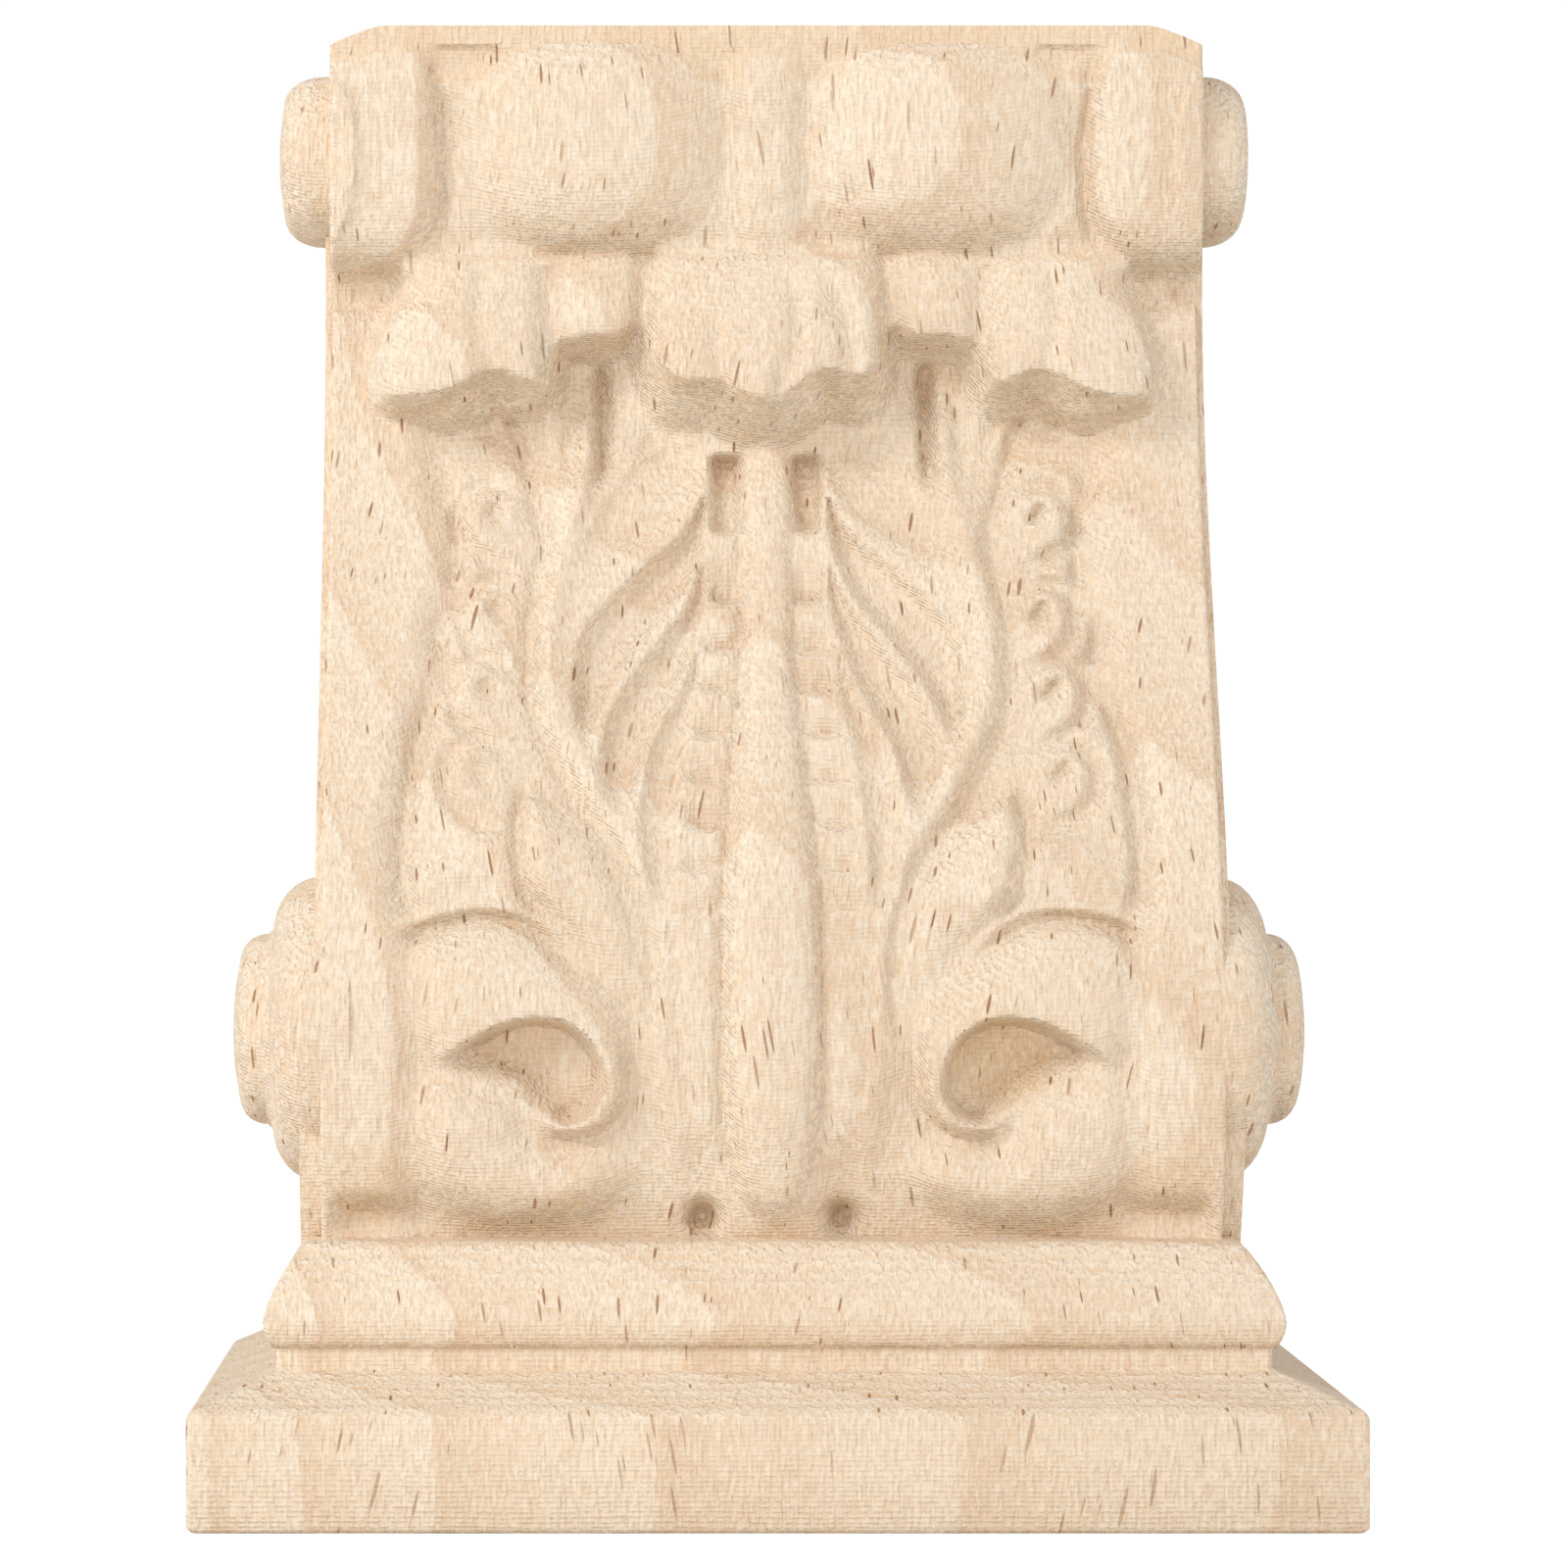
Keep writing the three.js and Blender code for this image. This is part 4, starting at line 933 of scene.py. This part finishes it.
def make_pores():
    """A mask for the pores, and a wider one for the stain round them."""
    tree, place, out = new_group("pores", [("Mask", "NodeSocketFloat"), ("Halo", "NodeSocketFloat")])
    tree.interface.new_socket("Cell", in_out="INPUT", socket_type="NodeSocketVector")
    cell = next(n for n in tree.nodes if n.type == "GROUP_INPUT").outputs["Cell"]
    here = add_node(tree, "ShaderNodeSeparateXYZ")
    tree.links.new(place, here.inputs[0])
    leaning = maths(tree, "MULTIPLY", here.outputs["X"], PORE_LEAN)
    leaning = maths(tree, "MULTIPLY_ADD", here.outputs["Z"], PORE_WAVE, leaning)
    shift = add_node(tree, "ShaderNodeCombineXYZ")
    tree.links.new(maths(tree, "MULTIPLY", maths(tree, "SINE", leaning), PORE_BEND), shift.inputs["X"])
    shifted = add_node(tree, "ShaderNodeVectorMath", operation="ADD")
    tree.links.new(place, shifted.inputs[0])
    tree.links.new(shift.outputs[0], shifted.inputs[1])
    packed = add_node(tree, "ShaderNodeVectorMath", operation="DIVIDE")
    tree.links.new(shifted.outputs[0], packed.inputs[0])
    tree.links.new(cell, packed.inputs[1])
    cells = add_node(tree, "ShaderNodeTexVoronoi", feature="F1", Scale=1.0, Randomness=1.0)
    tree.links.new(packed.outputs[0], cells.inputs["Vector"])
    chance = add_node(tree, "ShaderNodeSeparateColor")
    tree.links.new(cells.outputs["Color"], chance.inputs[0])
    size = maths(tree, "POWER", chance.outputs[0], 1.5)
    radius = maths(tree, "MULTIPLY_ADD", size, PORE_SPREAD, PORE_SMALLEST)
    deep = maths(tree, "SUBTRACT", radius, cells.outputs["Distance"])
    strength = blend_range(tree, chance.outputs[1], 0.1, 1.0, 0.15, 1.0)
    for name, low, high in (("Mask", -0.015, 0.04), ("Halo", -0.13, 0.0)):
        stain = maths(tree, "MULTIPLY", blend_range(tree, deep, low, high), strength)
        tree.links.new(stain, out.inputs[name])
    return tree


pores = make_pores()
LONG_PORE, SHORT_PORE = (0.8, 2.4, 10.0), (0.5, 1.4, 4.5)
print("pores in cells of", LONG_PORE, "and", SHORT_PORE, "mm")

# %% [markdown]
# ## Cutter marks, torn fibres and painted shade
#
# The ball-nosed cutter runs to and fro across the grain and steps up by half a millimetre each time. Its
# tracks are fine level lines, a little uneven, and they fade where the tool ran smoothly. A sine wave along
# the height draws them as a bump, and a pale tint on their crests is a painted highlight. Real ridges would
# need cells of a tenth of a millimetre. Faces that look down get short fuzz of torn fibres, and a darker,
# yellower tint there is painted shade under the overhangs. In the hollows of the curls and at the bottom
# corners, golden fuzzy spots are painted shade in these recesses. The block's own face, left along the top
# edge, is a shade browner.

# %% Cutter marks
CUTTER_PITCH, TRACK_SLANT, TRACK_DRIFT = 0.52, 0.75, 0.5


def make_cutter():
    """The height of the cutter's fine tracks, which the material also uses as the mask of a painted highlight
    on their crests.
    """
    tree, place, out = new_group("cutter marks", [("Height", "NodeSocketFloat")])
    parts = add_node(tree, "ShaderNodeSeparateXYZ")
    tree.links.new(place, parts.inputs[0])
    drift = maths(tree, "MULTIPLY", speckle(tree, place, (0.12, 0.12, 0.6)), TRACK_DRIFT)
    slant = maths(tree, "MULTIPLY", parts.outputs["Y"], TRACK_SLANT)
    travel = maths(tree, "SUBTRACT", parts.outputs["Z"], slant)
    track_and_highlight = maths(tree, "DIVIDE", maths(tree, "ADD", travel, drift), CUTTER_PITCH)
    wave = maths(tree, "SINE", maths(tree, "MULTIPLY", track_and_highlight, 2 * math.pi))
    # the crests of this wave also carry a pale tint in the material: a painted highlight
    ridge = maths(tree, "MULTIPLY_ADD", wave, 0.5, 0.5)
    uneven = blend_range(tree, speckle(tree, place, (1.6, 1.6, 1.9), 0.0), 0.36, 0.62, 0.15, 1.0)
    facing = add_node(tree, "ShaderNodeNewGeometry")
    lean = add_node(tree, "ShaderNodeSeparateXYZ")
    tree.links.new(facing.outputs["Normal"], lean.inputs[0])
    slope = blend_range(tree, maths(tree, "ABSOLUTE", lean.outputs["Y"]), 1.0, 0.55, 0.6, 1.3)
    rough = maths(tree, "MULTIPLY", maths(tree, "MULTIPLY", ridge, uneven), slope)
    tree.links.new(rough, out.inputs["Height"])
    return tree


cutter = make_cutter()
print("cutter marks", CUTTER_PITCH, "mm apart")

# %% Torn fibres and painted shade
HOLLOW_RIM = -20.5
BLOCK_FACE_FOOT, BLOCK_FACE_Y = 151.6, back_y - TOP_LAND
SHADE_SPOTS = [(24.0, 47.8, 6.5, 1.0), (-25.5, 49.4, 5.0, 0.35), (42.0, 34.0, 5.0, 0.4),
              (-42.0, 34.0, 5.5, 0.5)]


def make_torn_and_shade():
    """Masks for the painted shade on faces that look down, the golden painted shade in the hollows, and the
    block's own face, and the height of the torn fibres' fuzz.
    """
    tree, place, out = new_group("torn fibres", [("Mask", "NodeSocketFloat"), ("Golden Shade", "NodeSocketFloat"),
                                                 ("Block Face", "NodeSocketFloat"),
                                                 ("Height", "NodeSocketFloat")])
    facing = add_node(tree, "ShaderNodeNewGeometry")
    parts = add_node(tree, "ShaderNodeSeparateXYZ")
    tree.links.new(facing.outputs["Normal"], parts.inputs[0])
    # faces that look down get the fuzz, and in the material a darker tint that is painted shade under the
    # overhangs
    under = blend_range(tree, parts.outputs["Z"], -0.35, -0.8)
    here = add_node(tree, "ShaderNodeSeparateXYZ")
    tree.links.new(place, here.inputs[0])
    fuzz = speckle(tree, place, (3.6, 3.6, 1.5))
    # the golden spots, kept to the sunk hollows and the bottom corners, are painted shade in these recesses
    golden_shade = 0.0
    for x, up, radius, strong in SHADE_SPOTS:
        out_x = maths(tree, "POWER", maths(tree, "SUBTRACT", here.outputs["X"], x), 2.0)
        out_z = maths(tree, "POWER", maths(tree, "SUBTRACT", here.outputs["Z"], up), 2.0)
        near = maths(tree, "ADD", out_x, out_z)
        spot = blend_range(tree, near, radius ** 2, (0.5 * radius) ** 2, 0.0, strong)
        golden_shade = maths(tree, "MAXIMUM", golden_shade, spot)
    sunk_in = blend_range(tree, here.outputs["Y"], HOLLOW_RIM, HOLLOW_RIM + 2.5)
    golden_shade = maths(tree, "MULTIPLY", golden_shade, sunk_in)
    golden_shade = maths(tree, "MULTIPLY", golden_shade, blend_range(tree, fuzz, 0.35, 0.6, 0.3, 1.0))
    patchy = blend_range(tree, speckle(tree, place, (0.25, 0.25, 0.2)), 0.38, 0.6, 0.25, 1.0)
    tree.links.new(maths(tree, "MULTIPLY", under, patchy), out.inputs["Mask"])
    tree.links.new(golden_shade, out.inputs["Golden Shade"])
    planed = maths(tree, "MULTIPLY",
                   blend_range(tree, here.outputs["Y"], BLOCK_FACE_Y - 0.5, BLOCK_FACE_Y - 0.15),
                   blend_range(tree, here.outputs["Y"], BLOCK_FACE_Y + 1.4, BLOCK_FACE_Y + 1.1))
    high = blend_range(tree, here.outputs["Z"], BLOCK_FACE_FOOT - 0.2, BLOCK_FACE_FOOT + 0.2)
    tree.links.new(maths(tree, "MULTIPLY", planed, high), out.inputs["Block Face"])
    tree.links.new(maths(tree, "MULTIPLY", fuzz, under), out.inputs["Height"])
    return tree


torn_and_shade = make_torn_and_shade()
print("torn fibres on faces that look down, and", len(SHADE_SPOTS), "golden spots")

# %% [markdown]
# ## The wood
#
# The layers go together much as the real surface got them: timber with its ring zones, fibres and clouds
# along the grain, then the cutter's tracks and the torn spots, with a painted highlight on the tracks' crests
# and painted shade on faces that look down and in the hollows. The pores come last, because an open tube is
# dark under any mark. Each layer is a tint over the colours so far, laid where its mask is high, so one loop
# does them all from a table. A picture of wood wrapped round the block would stretch on the steep faces. Bare
# wood is matt, with only a faint sheen, so the roughness is high and the pores are rougher still.

# %% Tints of the wood, and how high its layers stand
TINTS = {"fibre": ((0.74, 0.54, 0.36), 0.26), "cloud": ((0.82, 0.63, 0.46), 0.20),
         "warm": ((0.84, 0.61, 0.42), 0.22), "dark grain": ((0.70, 0.48, 0.29), 0.30),
         # the pale tint on the cutter's tracks is a painted highlight on their crests
         "pale grain": ((0.98, 0.90, 0.77), 0.32), "track_and_highlight": ((0.98, 0.91, 0.79), 0.36),
         # the tint on faces that look down and the golden one in the hollows are painted shade
         "torn_and_shade": ((0.66, 0.47, 0.27), 0.35), "golden_shade": ((0.72, 0.47, 0.21), 0.6),
         "block face": ((0.83, 0.60, 0.38), 0.42), "halo": ((0.83, 0.56, 0.33), 0.38),
         "fine pore": ((0.56, 0.31, 0.15), 0.60), "pore": ((0.36, 0.17, 0.075), 0.9)}
RISES = {"track_and_highlight": 0.14, "fibre noise": 0.12, "grain noise": 0.26, "pore": -0.15, "fuzz": 0.3}
print(len(TINTS), "tints over the rings, and", len(RISES), "layers in the bump")

# %% Layers of the wood
def place_group(tree, group, place):
    """Puts a group into the material, fed with the place in millimetres."""
    made = tree.nodes.new("ShaderNodeGroup")
    made.node_tree = group
    tree.links.new(place, made.inputs["Place"])
    return made


def tinted(tree, colour, mask, tint, amount):
    """Lays a tint over a colour where a mask is high."""
    made = add_node(tree, "ShaderNodeMix", data_type="RGBA", blend_type="MIX")
    tree.links.new(maths(tree, "MULTIPLY", mask, amount), made.inputs["Factor"])
    tree.links.new(colour, made.inputs["A"])
    made.inputs["B"].default_value = (*tint, 1)
    return made.outputs["Result"]


def wood_layers(tree, place):
    """The masks and noises of all layers, by name."""
    long_pores, short_pores = place_group(tree, pores, place), place_group(tree, pores, place)
    long_pores.inputs["Cell"].default_value = LONG_PORE
    short_pores.inputs["Cell"].default_value = SHORT_PORE
    tear_and_shade = place_group(tree, torn_and_shade, place)
    fibre = speckle(tree, place, (3.2, 3.2, 0.16), 2.0)
    grain = speckle(tree, place, (2.6, 2.6, 0.55))
    return {"fibre": blend_range(tree, fibre, 0.42, 0.64),
            "cloud": blend_range(tree, speckle(tree, place, (0.06, 0.06, 0.03)), 0.35, 0.7),
            "warm": blend_range(tree, speckle(tree, place, (0.35, 0.35, 0.1)), 0.48, 0.64),
            "dark grain": blend_range(tree, grain, 0.50, 0.36),
            "pale grain": blend_range(tree, grain, 0.53, 0.66),
            "track_and_highlight": place_group(tree, cutter, place).outputs["Height"],
            "torn_and_shade": tear_and_shade.outputs["Mask"], "golden_shade": tear_and_shade.outputs["Golden Shade"],
            "block face": tear_and_shade.outputs["Block Face"], "fuzz": tear_and_shade.outputs["Height"],
            "halo": long_pores.outputs["Halo"], "pore": long_pores.outputs["Mask"],
            "fine pore": short_pores.outputs["Mask"], "fibre noise": fibre, "grain noise": grain}


print("node groups for the wood:", [group.name for group in bpy.data.node_groups])

# %% The wood material
SHEEN, ROUGHNESS, PORE_ROUGHNESS = 0.3, 0.62, 0.2


def make_wood():
    """The one finish of the whole corbel."""
    wood = bpy.data.materials.new("bare_wood")
    wood.use_nodes = True
    tree = wood.node_tree
    tree.nodes.clear()
    surface = add_node(tree, "ShaderNodeBsdfPrincipled")
    out = tree.nodes.new("ShaderNodeOutputMaterial")
    tree.links.new(surface.outputs["BSDF"], out.inputs["Surface"])
    surface.inputs["Specular IOR Level"].default_value = SHEEN
    spot = tree.nodes.new("ShaderNodeTexCoord").outputs["Object"]
    place = stretched(tree, spot, (1 / MM, 1 / MM, 1 / MM))
    layers = wood_layers(tree, place)
    colour = place_group(tree, rings, place).outputs["Color"]
    for name, (tint, amount) in TINTS.items():
        colour = tinted(tree, colour, layers[name], tint, amount)
    tree.links.new(colour, surface.inputs["Base Color"])
    rough = maths(tree, "MULTIPLY_ADD", layers["pore"], PORE_ROUGHNESS, ROUGHNESS)
    tree.links.new(rough, surface.inputs["Roughness"])
    height = 0.0
    for name, rise in RISES.items():
        height = maths(tree, "MULTIPLY_ADD", layers[name], rise, height)
    bump = add_node(tree, "ShaderNodeBump", Distance=MM, Strength=1.0)
    tree.links.new(height, bump.inputs["Height"])
    tree.links.new(bump.outputs["Normal"], surface.inputs["Normal"])
    return wood


wood = make_wood()
corbel.data.materials.clear()
corbel.data.materials.append(wood)
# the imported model's own node gets the same wood, although the carved piece stands in its place
for node_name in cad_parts:
    carried = bpy.data.objects.get(node_name)
    if carried and carried.type == "MESH":
        carried.data.materials.clear()
        carried.data.materials.append(wood)
print("wood on", corbel.name)

# %% [markdown]
# ## The floor
#
# The corbel stands on plain white paper against white, as in a catalogue picture. Under the lamps alone the
# paper would look grey, and stronger lamps would bleach the wood. So the paper glows a little where the
# camera sees it, and the other rays, those that light the wood, don't meet this glow.

# %% Floor
PAPER_GLOW = 0.6


def by_ray(tree, others, seen):
    """One value for the rays that come straight from the camera, and one for all others."""
    rays = add_node(tree, "ShaderNodeLightPath")
    made = add_node(tree, "ShaderNodeMapRange", **{"To Min": others, "To Max": seen})
    tree.links.new(rays.outputs["Is Camera Ray"], made.inputs["Value"])
    return made.outputs["Result"]


deselect_all()
bpy.ops.mesh.primitive_plane_add(size=12, location=(0, 0, 0))
floor = bpy.context.object
floor.name = "floor"
paper = bpy.data.materials.new("white_paper")
paper.use_nodes = True
sheet = paper.node_tree.nodes["Principled BSDF"]
sheet.inputs["Base Color"].default_value = (0.95, 0.95, 0.95, 1)
sheet.inputs["Roughness"].default_value = 0.9
sheet.inputs["Emission Color"].default_value = (1, 1, 1, 1)
paper.node_tree.links.new(by_ray(paper.node_tree, 0.0, PAPER_GLOW), sheet.inputs["Emission Strength"])
# only the camera sees this glow, so it is no lamp to be sampled
paper.cycles.emission_sampling = "NONE"
floor.data.materials.append(paper)
print("floor", round(floor.dimensions.x, 1), "m wide")

# %% [markdown]
# ## The light
#
# The photograph is lit softly: shades are pale and no shadow has a hard edge. One lamp would cut the relief
# into black and white, so four large ones share the work. The key at the upper left models the forms, the
# fill at the right opens their shades, a low one in front lights the mouldings, and one at the left side
# lights the bosses there. A white surround does the rest, dimmer for the wood than the camera sees it.

# %% Light
SURROUND, SEEN_WHITE = 0.47, 1.02
world = bpy.data.worlds.new("white surround")
bpy.context.scene.world = world
world.use_nodes = True
sky = world.node_tree.nodes["Background"]
sky.inputs["Color"].default_value = (1, 1, 1, 1)
world.node_tree.links.new(by_ray(world.node_tree, SURROUND, SEEN_WHITE), sky.inputs["Strength"])
# the surround is even, so rays that leave the wood find it without being aimed
world.cycles.sampling_method = "NONE"
bpy.context.scene.view_settings.view_transform = "Standard"


def soft_light(name, place, aim, size, power):
    """Square soft light that points at a place on the corbel."""
    lamp = bpy.data.lights.new(name, "AREA")
    lamp.shape, lamp.size, lamp.energy = "SQUARE", size, power
    holder = bpy.data.objects.new(name, lamp)
    bpy.context.collection.objects.link(holder)
    holder.location = place
    direction = np.array(aim) - np.array(place)
    tilt = math.atan2(math.hypot(direction[0], direction[1]), -direction[2])
    holder.rotation_euler = (tilt, 0, math.atan2(direction[1], direction[0]) - math.pi / 2)


soft_light("key", (-0.9, -0.75, 0.85), (0, 0, 0.08), 0.5, 7.1)
soft_light("fill", (1.3, -0.38, 0.28), (0, 0, 0.06), 1.0, 6.2)
soft_light("front", (-0.2, -1.1, 0.05), (0, 0, 0.02), 0.8, 4.0)
soft_light("side", (-1.25, -0.05, 0.4), (-0.05, 0, 0.04), 0.8, 4.0)
print(len(bpy.data.lights), "lamps and a surround of", SURROUND)

# %% [markdown]
# ## The camera
#
# The camera stands square to the face, less than half a metre away, a little left of the middle and at mid
# height. From so near the plinth looks clearly wider than the body behind it. The frame is shifted across
# instead of turned, which keeps the level lines of the mouldings level.

# %% Camera
FOCAL_LENGTH, SENSOR_WIDTH = 103.5, 36
lens = bpy.data.cameras.new("camera")
lens.lens, lens.sensor_width = FOCAL_LENGTH, SENSOR_WIDTH
lens.shift_x, lens.shift_y = 0.128, 0.005
lens.clip_start = 0.02
camera = bpy.data.objects.new("camera", lens)
bpy.context.collection.objects.link(camera)
camera.location = (-0.0197, -0.486, 0.0751)
camera.rotation_euler = (math.pi / 2, 0, 0)
bpy.context.scene.camera = camera
print("camera at", [round(c, 3) for c in camera.location])
